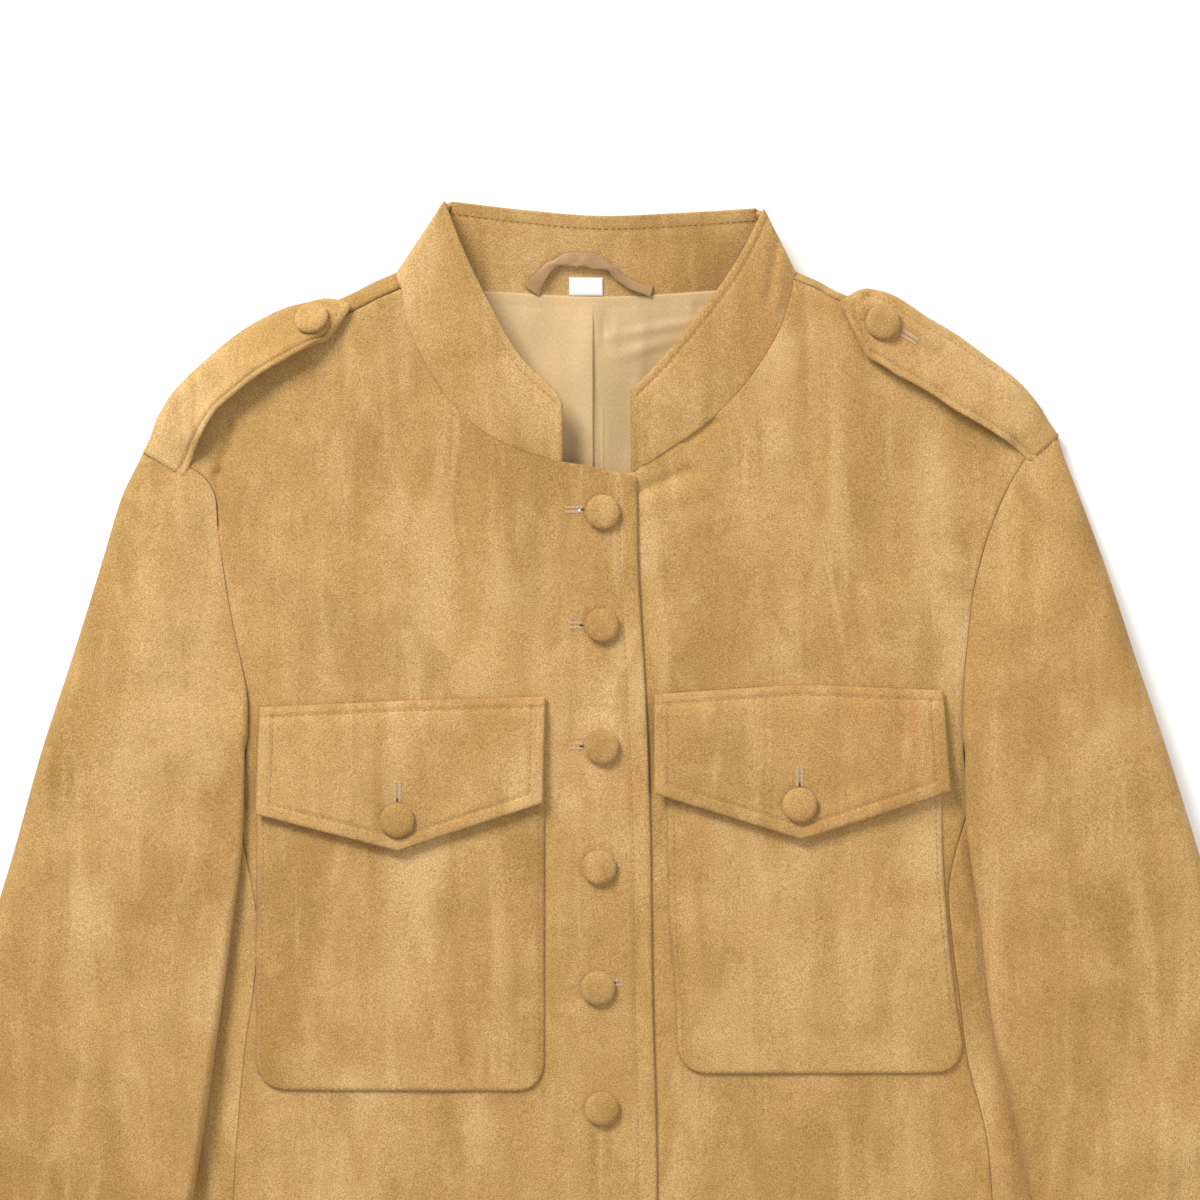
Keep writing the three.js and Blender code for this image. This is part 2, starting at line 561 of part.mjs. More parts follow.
// Collar: one doubled band from the left front end round the back of the neck to the right front end.
const collarTop = {
  left: curve([[-73.6, 189.1], [-64.5, 166], [-53.2, 142.5], [-37.5, 115.4], [-20.9, 98.8], [-17.6, 92.6]]),
  right: curve([[77.4, 185.3], [66, 163], [53.2, 143.9], [41.3, 128.7], [27, 112], [14.3, 98.8]]),
};
const collarBackTop = curve([[-70.4, 187.2], [-36, 183.2], [0, 179.6], [38, 181.8], [74, 183.6]]);
const collarLift = { front: 4.5, back: 8.5 };
{
  const stations = [];
  const frontStation = (side, index) => {
    const count = neckPoints[side].length - 1;
    const seam = neckPoints[side][index];
    const top = collarTop[side](index / count);
    const low = frontTop(seam[0], seam[1], side);
    return { seam: [...seam, low + 0.8], top: [...top, loft(0) + 0.8 + collarLift.front] };
  };
  const nudge = (station, share) => {
    // Keeps the band one seam gap inside the neck edge.
    const run = Math.hypot(station.top[0] - station.seam[0], station.top[1] - station.seam[1]);
    const part = share / run;
    station.seam = station.seam.map((value, axis) => mix(value, station.top[axis], part));
    return station;
  };
  const turnStations = (side) => {
    // From the front round the fold to the back, seen as a half ellipse at seam and top.
    const front = frontStation(side, 0);
    const backIndex = side === 'left' ? 0 : backNeckStops;
    const seamOut = shoulderFold[side](1);
    const topOut = collarTop[side](0);
    const backSeam = backNeckPoints[backIndex];
    const backTop = collarBackTop(backIndex / backNeckStops);
    const list = [];
    for (const angle of [0.25, 0.5, 0.75]) {
      const turn = Math.PI * angle;
      const out = Math.sin(turn);
      const up = (1 + Math.cos(turn)) / 2;
      const place = (frontPoint, outPoint, backPoint, backZ) => {
        const flat = between(backPoint, frontPoint, up);
        const level = between(backPoint, frontPoint, 0.5);
        const reach = [outPoint[0] - level[0], outPoint[1] - level[1]];
        return [flat[0] + reach[0] * out, flat[1] + reach[1] * out, mix(backZ, frontPoint[2], up)];
      };
      list.push({ seam: place(front.seam, seamOut, backSeam, 0.05),
        top: place(front.top, topOut, backTop, collarLift.back) });
    }
    return list;
  };
  const fronts = neckPoints.left.length - 1;
  for (let i = fronts; i >= 0; i -= 1) stations.push(nudge(frontStation('left', i), 0.35));
  stations.push(...turnStations('left').map((station) => nudge(station, 0.8)));
  steps(backNeckStops).forEach((share, i) => {
    const [x, y] = backNeckPoints[i];
    stations.push(nudge({ seam: [x, y, 0.05], top: [...collarBackTop(share), collarLift.back] }, 0.8));
  });
  stations.push(...turnStations('right').reverse().map((station) => nudge(station, 0.8)));
  for (let i = 0; i <= fronts; i += 1) stations.push(nudge(frontStation('right', i), 0.35));
  const count = stations.length - 1;
  const columns = steps(count);
  const surface = (u, v) => {
    const place = clamp(u) * count;
    const low = Math.min(count - 1, Math.floor(place));
    return [0, 1, 2].map((axis) => {
      const seam = mix(stations[low].seam[axis], stations[low + 1].seam[axis], place - low);
      const top = mix(stations[low].top[axis], stations[low + 1].top[axis], place - low);
      return mix(seam, top, v);
    });
  };
  addPiece('collar', clothWall(columns, [0, 0.25, 0.5, 0.75, 1], surface, doubled, -1));
}
// Height of the inside of the collar's back at a plan point.
const collarInside = (x, y) => {
  const share = clamp(table([[-74, 0], [0, 0.5], [74, 1]])(x));
  const [low, high] = [backNeck(share)[1], collarBackTop(share)[1]];
  return mix(0.05, collarLift.back, clamp((y - low) / (high - low))) + doubled * 1.03;
};

// Lining of the back neck with its centre pleat.
const liningLow = 22 * plan;
const pleatX = -2.4 * plan;
{
  const upper = backNeckPoints.map(([x, y]) => [x * 0.985, y - 0.5]);
  const topLine = table(upper.map((point, i) => [i / backNeckStops, point]));
  const sides = { left: topLine(0), right: topLine(1) };
  const low = { left: [-74 * plan, liningLow], right: [72 * plan, liningLow] };
  const spread = patch(topLine, (u) => between(low.left, low.right, u),
    (v) => between(sides.left, low.left, v), (v) => between(sides.right, low.right, v));
  const surface = (u, v) => {
    const [x, y] = spread(u, v);
    const pleat = 1.3 * Math.exp(-(((x - pleatX) / 5) ** 2)) * ease(0, 0.1, v);
    return [x, y, suede + seamGap + satin + pleat];
  };
  const columns = [0, 0.1, 0.2, 0.3, 0.4, 0.44, 0.47, 0.495, 0.52, 0.56, 0.6, 0.7, 0.8, 0.9, 1];
  addPiece('lining_back', clothWall(columns, steps(6), surface, satin, -1), 'satin');
}

// Label and hanging loop on the inside of the collar.
const labelThickness = 0.5;
{
  const [left, right, low, high] = [-14.7, 1.4, 144.9, 153.6].map((value) => value * plan);
  const surface = (u, v) => {
    const [x, y] = [mix(left, right, u), mix(high, low, v)];
    return [x, y, collarInside(x, y) + seamGap + labelThickness];
  };
  addPiece('label', clothWall(steps(3), steps(2), surface, labelThickness, -1), 'white');
}
{
  const places = [[-32.8, 147.2], [-28.5, 153.5], [-23.8, 158.8], [-17, 161.6], [-4.3, 161.5],
    [4.5, 158], [10.9, 152.5], [17, 149.2], [24.7, 147]];
  const path = new THREE.CatmullRomCurve3(places.map(([x, y]) => new THREE.Vector3(x * plan, y * plan, 0)));
  const loop = { wide: 2.2, high: 1.1 };
  const rings = 22;
  const sidesOfCord = 8;
  const points = [];
  const faces = [];
  for (let i = 0; i <= rings; i += 1) {
    const centre = path.getPointAt(i / rings);
    const along = path.getTangentAt(i / rings);
    const rise = 1.1 * ease(0, 0.12, i / rings) * ease(1, 0.88, i / rings);
    for (let k = 0; k < sidesOfCord; k += 1) {
      const angle = (2 * Math.PI * k) / sidesOfCord;
      const reach = loop.wide * Math.cos(angle);
      const [x, y] = [centre.x - along.y * reach, centre.y + along.x * reach];
      const base = collarInside(x, y) + seamGap;
      points.push(new THREE.Vector3(x, y, base + rise + loop.high * (1 + Math.sin(angle))));
    }
  }
  const first = points.push(path.getPointAt(0).setZ(points[0].z)) - 1;
  const end = points.push(path.getPointAt(1).setZ(points[rings * sidesOfCord].z)) - 1;
  for (let k = 0; k < sidesOfCord; k += 1) {
    const next = (k + 1) % sidesOfCord;
    for (let i = 0; i < rings; i += 1) {
      const [a, b] = [i * sidesOfCord + k, i * sidesOfCord + next];
      faces.push(a, b, b + sidesOfCord, a, b + sidesOfCord, a + sidesOfCord);
    }
    faces.push(first, next, k);
    faces.push(end, rings * sidesOfCord + k, rings * sidesOfCord + next);
  }
  addPiece('hanger_loop', solid(points, faces), 'satin');
}

// Patch pockets and their flaps, made from the points of the fronts moved up.
const pocketDepth = 1.5;
const pocketGap = seamGap + 0.2;
const pocketFull = 1.2;
const corner = 14;
const pocketEdges = {
  left: {
    left: curve([[-162.6, -63], [-163, -104], [-163.4, -150], [-163.4, -218]]),
    right: curve([[-26.1, -63], [-26.1, -104], [-26.1, -218.8]]),
    low: -232.8,
  },
  right: {
    left: curve([[30, -62], [31.8, -104.5], [33.3, -156.8], [36.1, -191.9], [36.6, -211]]),
    right: curve([[162.4, -61], [162.6, -94], [163.1, -124], [164.6, -146], [165.8, -160], [169.5, -191.9],
      [172.6, -211]]),
    low: -224.7,
  },
};
const flapEdges = {
  left: { tl: [-161.5, -50.8], tm: [-93.6, -47.6], tr: [-25.7, -45.6], br: [-27.1, -96],
    tip: [-95.5, -118.8], bl: [-163.4, -101.7] },
  right: { tl: [25.7, -44.7], tm: [95.5, -39.9], tr: [162.9, -42.8], br: [166.7, -90.7],
    tip: [95.5, -113.5], bl: [25.7, -91.7] },
};
const patches = {};
for (const side of ['left', 'right']) {
  const edges = pocketEdges[side];
  const [lowLeft, lowRight] = [edges.left(1), edges.right(1)];
  const low = edges.low * plan;
  // Each lower corner is a quarter circle, shared by the side edge and the bottom edge.
  const cornerAt = (point, direction, angle) => [
    point[0] + direction * corner * (1 - Math.cos(angle)),
    mix(point[1], low, Math.sin(angle))];
  const sideEdge = (edge, point, direction) => (v) => (v <= 0.85 ? edge(v / 0.85)
    : cornerAt(point, direction, (Math.PI / 4) * ((v - 0.85) / 0.15)));
  const bottomEdge = (u) => {
    if (u < 0.1) return cornerAt(lowLeft, 1, (Math.PI / 4) * (1 + u / 0.1));
    if (u > 0.9) return cornerAt(lowRight, -1, (Math.PI / 4) * (1 + (1 - u) / 0.1));
    return between(cornerAt(lowLeft, 1, Math.PI / 2), cornerAt(lowRight, -1, Math.PI / 2), (u - 0.1) / 0.8);
  };
  const shape = patch((u) => between(edges.left(0), edges.right(0), u), bottomEdge,
    sideEdge(edges.left, lowLeft, 1), sideEdge(edges.right, lowRight, -1));
  const pocketTop = (x, y, u, v) => frontTop(x, y, side) + pocketGap + pocketDepth
    + pocketFull * Math.sin(Math.PI * clamp(u)) * Math.sin(Math.PI * clamp(v) ** 0.7);
  const surface = (u, v) => {
    const [x, y] = shape(u, v);
    return [x, y, pocketTop(x, y, u, v)];
  };
  const columns = [0, 0.05, 0.1, 0.23, 0.36, 0.5, 0.64, 0.77, 0.9, 0.95, 1];
  const rows = [0, 0.12, 0.25, 0.4, 0.55, 0.7, 0.85, 0.9, 0.95, 1];
  addPiece(`pocket_${side}`, clothWall(columns, rows, surface, pocketDepth, -1));

  const flap = Object.fromEntries(Object.entries(flapEdges[side])
    .map(([name, [x, y]]) => [name, [x * plan, y * plan]]));
  const topEdge = (u) => (u < 0.5 ? between(flap.tl, flap.tm, u * 2) : between(flap.tm, flap.tr, u * 2 - 1));
  const lowEdge = (u) => (u < 0.5 ? between(flap.bl, flap.tip, u * 2) : between(flap.tip, flap.br, u * 2 - 1));
  const [leftEdge, rightEdge] = [(v) => between(flap.tl, flap.bl, v), (v) => between(flap.tr, flap.br, v)];
  const flapShape = patch(topEdge, lowEdge, leftEdge, rightEdge);
  // The flap starts on the front and steps up over the pocket's opening edge.
  const flapBottom = (x, y, u, v) => frontTop(x, y, side) + pocketGap
    + (pocketDepth + seamGap + 0.2) * ease(0, 0.2, v)
    + pocketFull * Math.sin(Math.PI * clamp(u)) * ease(0.15, 0.6, v) + 1.2 * v * v;
  const flapSurface = (u, v) => {
    const [x, y] = flapShape(u, v);
    return [x, y, flapBottom(x, y, u, v) + doubled];
  };
  const flapRows = [0, 0.1, 0.2, 0.36, 0.52, 0.68, 0.84, 1];
  addPiece(`flap_${side}`, clothWall(steps(10), flapRows, flapSurface, doubled, -1));
  patches[side] = { flapShape, flapBottom };
}

// Point on the body near a shoulder fold: unrolled is the cloth distance inwards from the fold.
const foldArc = 10.4;
function shoulderPoint(side, share, unrolled, out) {
  const angle = unrolled < foldArc ? (Math.PI / 2) * (1 - unrolled / foldArc) : 0;
  const depth = unrolled < foldArc ? bodyFold * (1 - Math.sin(angle)) : bodyFold + unrolled - foldArc;
  const { inward } = foldAt(side, share);
  const [x, y] = insideFold(side, share, depth);
  const half = loft(x) / 2;
  const z = angle > 0 ? half * (1 + Math.cos(angle)) : bodyTop(x, y);
  const lean = Math.hypot(Math.sin(angle) / bodyFold, Math.cos(angle) / half);
  const [away, up] = [Math.sin(angle) / bodyFold / lean, Math.cos(angle) / half / lean];
  return new THREE.Vector3(x - inward[0] * away * out, y - inward[1] * away * out, z + up * out);
}
const straps = {
  left: { low: table([[0, 25], [0.25, 19], [0.55, 20.6], [0.8, 18.6], [1, 18.6]]),
    high: table([[0, -1], [1, -1.5]]), tip: 0.83, button: 0.7 },
  right: { low: table([[0, 21], [0.3, 27.5], [0.55, 30], [0.8, 26], [1, 24]]),
    high: table([[0, -3], [0.3, 0], [0.55, 2], [0.8, 0], [1, -2]]), tip: 0.83, button: 0.65 },
};
const strapSurface = (side) => (u, v) => {
  const { low, high, tip } = straps[side];
  const foldMm = shoulderFold[side].length_mm;
  const point = Math.abs(v - 0.5) * strapWidth / foldMm;
  const share = mix(0.012, tip - point, u);
  const unrolled = mix(high(share), low(share), v);
  const free = ease(0.02, 0.3, u) * ease(1, 0.75, u);
  const bow = 3.6 * v ** 3 + 2.6 * Math.exp(-(((unrolled - 2) / 9) ** 2));
  const lift = bow * free + 0.6 * ease(0.7, 1, u);
  return shoulderPoint(side, share, unrolled, seamGap + 0.35 + doubled + lift).toArray();
};
for (const side of ['left', 'right']) {
  const facing = side === 'left' ? -1 : 1;
  addPiece(`epaulette_${side}`, clothWall(steps(9), steps(10), strapSurface(side), doubled, facing));
}

// Covered buttons: a low dome, set square on the cloth below.
const dome = [[0.86, 0], [1, 0.24], [0.95, 0.55], [0.72, 0.82], [0.38, 0.97]];
const buttonSides = 14;
function button(name, centre, normal) {
  const points = [new THREE.Vector3(0, 0, 0)];
  const faces = [];
  dome.forEach(([reach, up]) => {
    for (let k = 0; k < buttonSides; k += 1) {
      const angle = (2 * Math.PI * k) / buttonSides;
      points.push(new THREE.Vector3(reach * buttonRadius * Math.cos(angle),
        reach * buttonRadius * Math.sin(angle), up * buttonHeight));
    }
  });
  const top = points.push(new THREE.Vector3(0, 0, buttonHeight)) - 1;
  for (let k = 0; k < buttonSides; k += 1) {
    const next = (k + 1) % buttonSides;
    faces.push(0, 1 + next, 1 + k);
    for (let ring = 0; ring < dome.length - 1; ring += 1) {
      const low = 1 + ring * buttonSides;
      faces.push(low + k, low + next, low + buttonSides + next);
      faces.push(low + k, low + buttonSides + next, low + buttonSides + k);
    }
    const last = 1 + (dome.length - 1) * buttonSides;
    faces.push(last + k, last + next, top);
  }
  const turn = new THREE.Quaternion().setFromUnitVectors(new THREE.Vector3(0, 0, 1), normal);
  points.forEach((point) => point.applyQuaternion(turn).add(centre));
  addPiece(name, solid(points, faces));
}
// Seats a button on a height map, clear of every point of the cloth under its rim.
function seatOn(height, x, y) {
  const reach = 6;
  const normal = new THREE.Vector3(height(x - reach, y) - height(x + reach, y),
    height(x, y - reach) - height(x, y + reach), 2 * reach).normalize();
  const centre = new THREE.Vector3(x, y, height(x, y));
  let rise = 0;
  for (let k = 0; k < 24; k += 1) {
    const angle = (Math.PI * k) / 12;
    for (const share of [0.4, 0.75, 1]) {
      const out = share * buttonRadius;
      const [px, py] = [x + out * Math.cos(angle), y + out * Math.sin(angle)];
      const away = new THREE.Vector3(px, py, height(px, py)).sub(centre).dot(normal);
      rise = Math.max(rise, away);
    }
  }
  return { centre: centre.addScaledVector(normal, rise + seamGap), normal };
}
const frontButtons = [[1.2, 41.8], [1, -11.9], [1, -69.8], [-0.5, -126.6], [-1, -183.8], [1, -241], [1, -298],
  [1.2, -355]];
frontButtons.forEach(([x, y], i) => {
  const { centre, normal } = seatOn((px, py) => frontTop(px, py, 'left'), x * plan, y * plan);
  button(`front_button_${i + 1}`, centre, normal);
});
const flapButtons = { left: [-95.9, -104.2], right: [94.5, -96.9] };
for (const side of ['left', 'right']) {
  const [x, y] = flapButtons[side].map((value) => value * plan);
  const { flapBottom } = patches[side];
  const flap = flapEdges[side];
  const high = (px, py) => {
    const u = clamp((px / plan - flap.tl[0]) / (flap.tr[0] - flap.tl[0]));
    const lowY = mix(flap.bl[1], flap.tip[1], 1 - Math.abs(2 * u - 1));
    const v = clamp((py / plan - flap.tm[1]) / (lowY - flap.tm[1]), 0, 1.2);
    return flapBottom(px, py, u, v) + doubled;
  };
  const { centre, normal } = seatOn(high, x, y);
  button(`flap_button_${side}`, centre, normal);
}
for (const side of ['left', 'right']) {
  const read = strapSurface(side);
  const [u, v] = [straps[side].button / straps[side].tip, 0.5];
  const at = (a, b) => new THREE.Vector3(...read(a, b));
  const alongU = at(u + 0.03, v).sub(at(u - 0.03, v));
  const alongV = at(u, v + 0.08).sub(at(u, v - 0.08));
  const normal = alongU.cross(alongV).normalize();
  if (normal.z < 0) normal.negate();
  const centre = at(u, v);
  let rise = 0;
  for (let a = -0.12; a <= 0.12; a += 0.02) {
    for (let b = -0.26; b <= 0.26; b += 0.065) {
      const offset = at(u + a, v + b).sub(centre);
      const up = offset.dot(normal);
      if (Math.sqrt(Math.max(0, offset.lengthSq() - up * up)) <= buttonRadius) rise = Math.max(rise, up);
    }
  }
  button(`epaulette_button_${side}`, centre.addScaledVector(normal, rise + seamGap), normal);
}

const bounds = new THREE.Box3().setFromObject(object);
object.position.set(-(bounds.min.x + bounds.max.x) / 2, -(bounds.min.y + bounds.max.y) / 2, -bounds.min.z);

export default object;
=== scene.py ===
import math

import bmesh
import bpy
import numpy as np
from mathutils import Matrix, Vector


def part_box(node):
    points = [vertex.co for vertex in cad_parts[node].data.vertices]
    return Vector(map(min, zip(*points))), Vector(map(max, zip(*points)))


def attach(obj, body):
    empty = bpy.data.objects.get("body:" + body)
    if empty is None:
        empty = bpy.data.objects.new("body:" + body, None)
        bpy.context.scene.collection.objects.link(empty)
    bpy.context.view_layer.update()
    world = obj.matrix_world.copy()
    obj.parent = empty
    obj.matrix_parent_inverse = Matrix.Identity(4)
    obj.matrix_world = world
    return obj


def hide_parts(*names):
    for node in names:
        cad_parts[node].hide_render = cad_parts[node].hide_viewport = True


bl_info = {
    "name": "Suede jacket, laid flat",
    "version": (1, 0, 0),
    "blender": (4, 5, 0),
    "location": "View3D > Sidebar > Jacket",
    "description": "Builds a buttoned suede jacket laid on its back, piece by piece, in the packed frame",
    "category": "Add Mesh",
}

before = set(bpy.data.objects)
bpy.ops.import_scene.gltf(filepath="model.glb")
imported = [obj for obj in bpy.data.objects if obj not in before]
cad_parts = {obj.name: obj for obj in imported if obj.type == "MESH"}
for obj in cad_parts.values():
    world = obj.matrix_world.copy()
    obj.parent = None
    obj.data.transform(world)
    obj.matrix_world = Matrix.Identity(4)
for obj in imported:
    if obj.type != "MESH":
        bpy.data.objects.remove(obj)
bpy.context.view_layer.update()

MM = 0.001
BUTTON_ONE = (1.2, 41.8)
LOW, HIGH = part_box("front_button_1")
SHIFT_X = (LOW[0] + HIGH[0]) / 2 - BUTTON_ONE[0] * MM
SHIFT_Y = (LOW[1] + HIGH[1]) / 2 - BUTTON_ONE[1] * MM

# Sizes in millimetres, as the solids have them
SUEDE = 1.5
DOUBLED = 2.6
SATIN = 1.0
SEAM_GAP = 0.3
BODY_LOFT_MIDDLE = 15.0
BODY_LOFT_SIDE = 9.5
BODY_FOLD = 8.0
SLEEVE_LOFT = 19.0
OVERLAP_RISE = 2.0
HEM_Y = 155.8 - 602.0
UNDERARM_Y = -116.0
BUTTON_RADIUS = 8.2
BUTTON_HEIGHT = 4.2
HEM_TURN = 20.0
FRONT_RUN = 560.0
HEM_LINE = {"front": HEM_TURN / 545, "side": HEM_TURN / 660}
SLEEVE_FOLD = 9.0
SLEEVE_TUCK = 4.0
CUFF_RUN = 420.0
FRONT_BUTTONS = 8
COLLAR_STITCHES = 5.2
STRAP_STITCHES = 4.2
FLAP_STITCHES = 6.6
FLAP_TOP_STITCHES = 4.8
POCKET_STITCHES = 3.6
# Stitches lie this far above the cloth.
ABOVE = np.array([0.0, 0.0, 0.12])
SIDES = ("left", "right")
SIGN = {"left": -1.0, "right": 1.0}


# Shares and curves

def mix(a, b, share):
    return a + (b - a) * share


def clamp(value, low=0.0, high=1.0):
    return np.minimum(high, np.maximum(low, value))


def ease(start, end, value):
    share = clamp((value - start) / (end - start))
    return share * share * (3 - 2 * share)


def bump(value, centre, width):
    return np.exp(-(((value - centre) / width) ** 2))


def rounded(share):
    return np.sqrt(np.maximum(0.0, 1 - (1 - clamp(share)) ** 2))


class Curve:
    """A smooth curve through plan points, read by share of its length."""

    def __init__(self, points):
        p = [np.array(point, float) for point in points]
        p = [2 * p[0] - p[1]] + p + [2 * p[-1] - p[-2]]
        line = []
        for k in range(1, len(p) - 2):
            dt = [max(1e-4, math.sqrt(np.linalg.norm(p[k + i] - p[k + i - 1]))) for i in range(3)]
            t1 = (p[k] - p[k - 1]) / dt[0] - (p[k + 1] - p[k - 1]) / (dt[0] + dt[1])
            t1 = t1 + (p[k + 1] - p[k]) / dt[1]
            t2 = (p[k + 1] - p[k]) / dt[1] - (p[k + 2] - p[k]) / (dt[1] + dt[2])
            t2 = t2 + (p[k + 2] - p[k + 1]) / dt[2]
            t1, t2 = t1 * dt[1], t2 * dt[1]
            for t in np.linspace(0, 1, 41)[: 41 if k == len(p) - 3 else 40]:
                h = (2 * t**3 - 3 * t**2 + 1, t**3 - 2 * t**2 + t, -2 * t**3 + 3 * t**2, t**3 - t**2)
                line.append(h[0] * p[k] + h[1] * t1 + h[2] * p[k + 1] + h[3] * t2)
        self.line = np.array(line)
        run = np.concatenate([[0], np.cumsum(np.linalg.norm(np.diff(self.line, axis=0), axis=1))])
        self.length = run[-1]
        self.share = run / run[-1]

    def __call__(self, share):
        share = np.asarray(share, float)
        x = np.interp(share, self.share, self.line[:, 0])
        y = np.interp(share, self.share, self.line[:, 1])
        return np.stack([x, y], -1)


def table(rows):
    """Straight interpolation in rows of place and value, where a value is a number or a plan point."""
    places = [row[0] for row in rows]
    values = np.array([row[1] for row in rows], float)

    def read(place):
        if values.ndim == 1:
            return np.interp(place, places, values)
        return np.stack([np.interp(place, places, values[:, axis]) for axis in range(values.shape[1])], -1)

    return read


def chain(parts):
    def read(place):
        place = np.asarray(place, float)
        out = np.zeros(place.shape + (2,))
        index = np.minimum(len(parts) - 1, np.floor(place)).astype(int)
        for k, part in enumerate(parts):
            here = index == k
            out[here] = part(place[here] - k)
        return out

    return read


def read_rows(places, values):
    """A table from two lists of the same length."""
    return table(list(zip(places, values)))


def between(a, b, share):
    share = np.asarray(share, float)[..., None]
    return np.asarray(a) + (np.asarray(b) - np.asarray(a)) * share


def patch(top, bottom, left, right):
    corners = top(0.0), top(1.0), bottom(0.0), bottom(1.0)

    def read(u, v):
        flat = between(top(u), bottom(u), v) + between(left(v), right(v), u)
        return flat - between(between(corners[0], corners[1], u), between(corners[2], corners[3], u), v)

    return read


def across(u, width, start, end):
    """Distance across a strip whose edges are rounded folds; the first and last fifth turn the fold."""
    u, width = np.broadcast_arrays(np.asarray(u, float), np.asarray(width, float))
    start, end = np.broadcast_to(start, u.shape), np.broadcast_to(end, u.shape)
    turn = 0.2
    low = np.where(start > 0, turn, 0.0)
    high = np.where(end > 0, 1 - turn, 1.0)
    middle = mix(start, width - end, (u - low) / (high - low))
    first = start * (1 - np.cos((math.pi / 2) * np.clip(u / turn, 0, 1)))
    last = width - end * (1 - np.cos((math.pi / 2) * np.clip((1 - u) / turn, 0, 1)))
    return np.where(u < low, first, np.where(u > high, last, middle))


def noise(x, y, cell, seed):
    """Smooth seeded noise from -1 to 1 over the plan."""
    lattice = np.random.RandomState(seed).uniform(-1, 1, (64, 64))
    gx, gy = np.asarray(x) / cell + 200.0, np.asarray(y) / cell + 200.0
    ix, iy = np.floor(gx).astype(int), np.floor(gy).astype(int)
    fx, fy = gx - ix, gy - iy
    fx, fy = fx * fx * (3 - 2 * fx), fy * fy * (3 - 2 * fy)
    pick = lambda dx, dy: lattice[(ix + dx) % 64, (iy + dy) % 64]
    return mix(mix(pick(0, 0), pick(1, 0), fx), mix(pick(0, 1), pick(1, 1), fx), fy)


def stops(width, step, fine_start=0.0, fine_end=0.0, fine=0.8):
    """Shares across a width, closer together within a fine stretch at either edge."""
    start = np.arange(0, fine_start, fine)
    end = width - np.arange(0, fine_end, fine)[::-1]
    count = max(2, int(round((width - fine_start - fine_end) / step)) + 1)
    middle = np.linspace(fine_start, width - fine_end, count)
    places = np.concatenate([start, middle, end if fine_end else []])
    return np.unique(np.round(places / width, 7))


def spaced(*stretches, digits=6):
    """Shares in stretches of start, end and count, joined without doubles."""
    return np.unique(np.concatenate([np.linspace(*stretch) for stretch in stretches]).round(digits))


def mirrored(half):
    return np.unique(np.concatenate([half, 1 - half]).round(7))


# Body outline and height

def body_half(y):
    y = np.asarray(y, float)
    return np.where(y > -250, 210 + 5 * ((y + 250) / 134) ** 2, 210 + 16 * ((y + 250) / 196) ** 2)


FOLD_STOPS = 8
SHOULDER_FOLD = {
    "left": Curve([(-215.7, 72.2), (-207.9, 84.6), (-197.6, 97.4), (-184, 110.5), (-168, 123.3),
                   (-150, 133.2), (-132, 139.8), (-117, 146.3), (-109.3, 150.4), (-97, 155.8)]),
    "right": Curve([(216.4, 80), (208, 89.2), (196.3, 99.8), (182, 111), (166, 123), (148, 133.4),
                    (130, 140.5), (113, 146.6), (104, 151.6), (92.6, 156.3)]),
}
SEAM_DEPTH = {"left": 8.0, "right": 3.4}


def fold_inward(side, share):
    before, after = SHOULDER_FOLD[side](share - 0.02), SHOULDER_FOLD[side](share + 0.02)
    # The curve is held at its ends, so the difference there is one-sided.
    run = np.linalg.norm(after - before, axis=-1)[..., None]
    turn = SIGN[side]
    ahead = after - before
    return np.stack([-turn * ahead[..., 1], turn * ahead[..., 0]], -1) / run


def inside_fold(side, share, depth):
    share = np.asarray(share, float)
    return SHOULDER_FOLD[side](share) + fold_inward(side, share) * np.asarray(depth, float)[..., None]


def shoulder_depth(x, y):
    """Plan distance to the nearer shoulder fold."""
    x, y = np.asarray(x, float), np.asarray(y, float)
    least = np.full(x.shape, 1000.0)
    for side in SIDES:
        line = SHOULDER_FOLD[side](np.linspace(0, 1, 61))
        near = (y >= 40) & ((x < 0) == (side == "left"))
        if not near.any():
            continue
        px, py = x[near][:, None], y[near][:, None]
        a, b = line[:-1], line[1:]
        step = b - a
        share = ((px - a[:, 0]) * step[:, 0] + (py - a[:, 1]) * step[:, 1]) / (step**2).sum(1)
        share = np.clip(share, 0, 1)
        away = np.hypot(px - a[:, 0] - share * step[:, 0], py - a[:, 1] - share * step[:, 1])
        least[near] = away.min(1)
    return least


def loft(x):
    return BODY_LOFT_SIDE + (BODY_LOFT_MIDDLE - BODY_LOFT_SIDE) * ease(205, 110, np.abs(x))


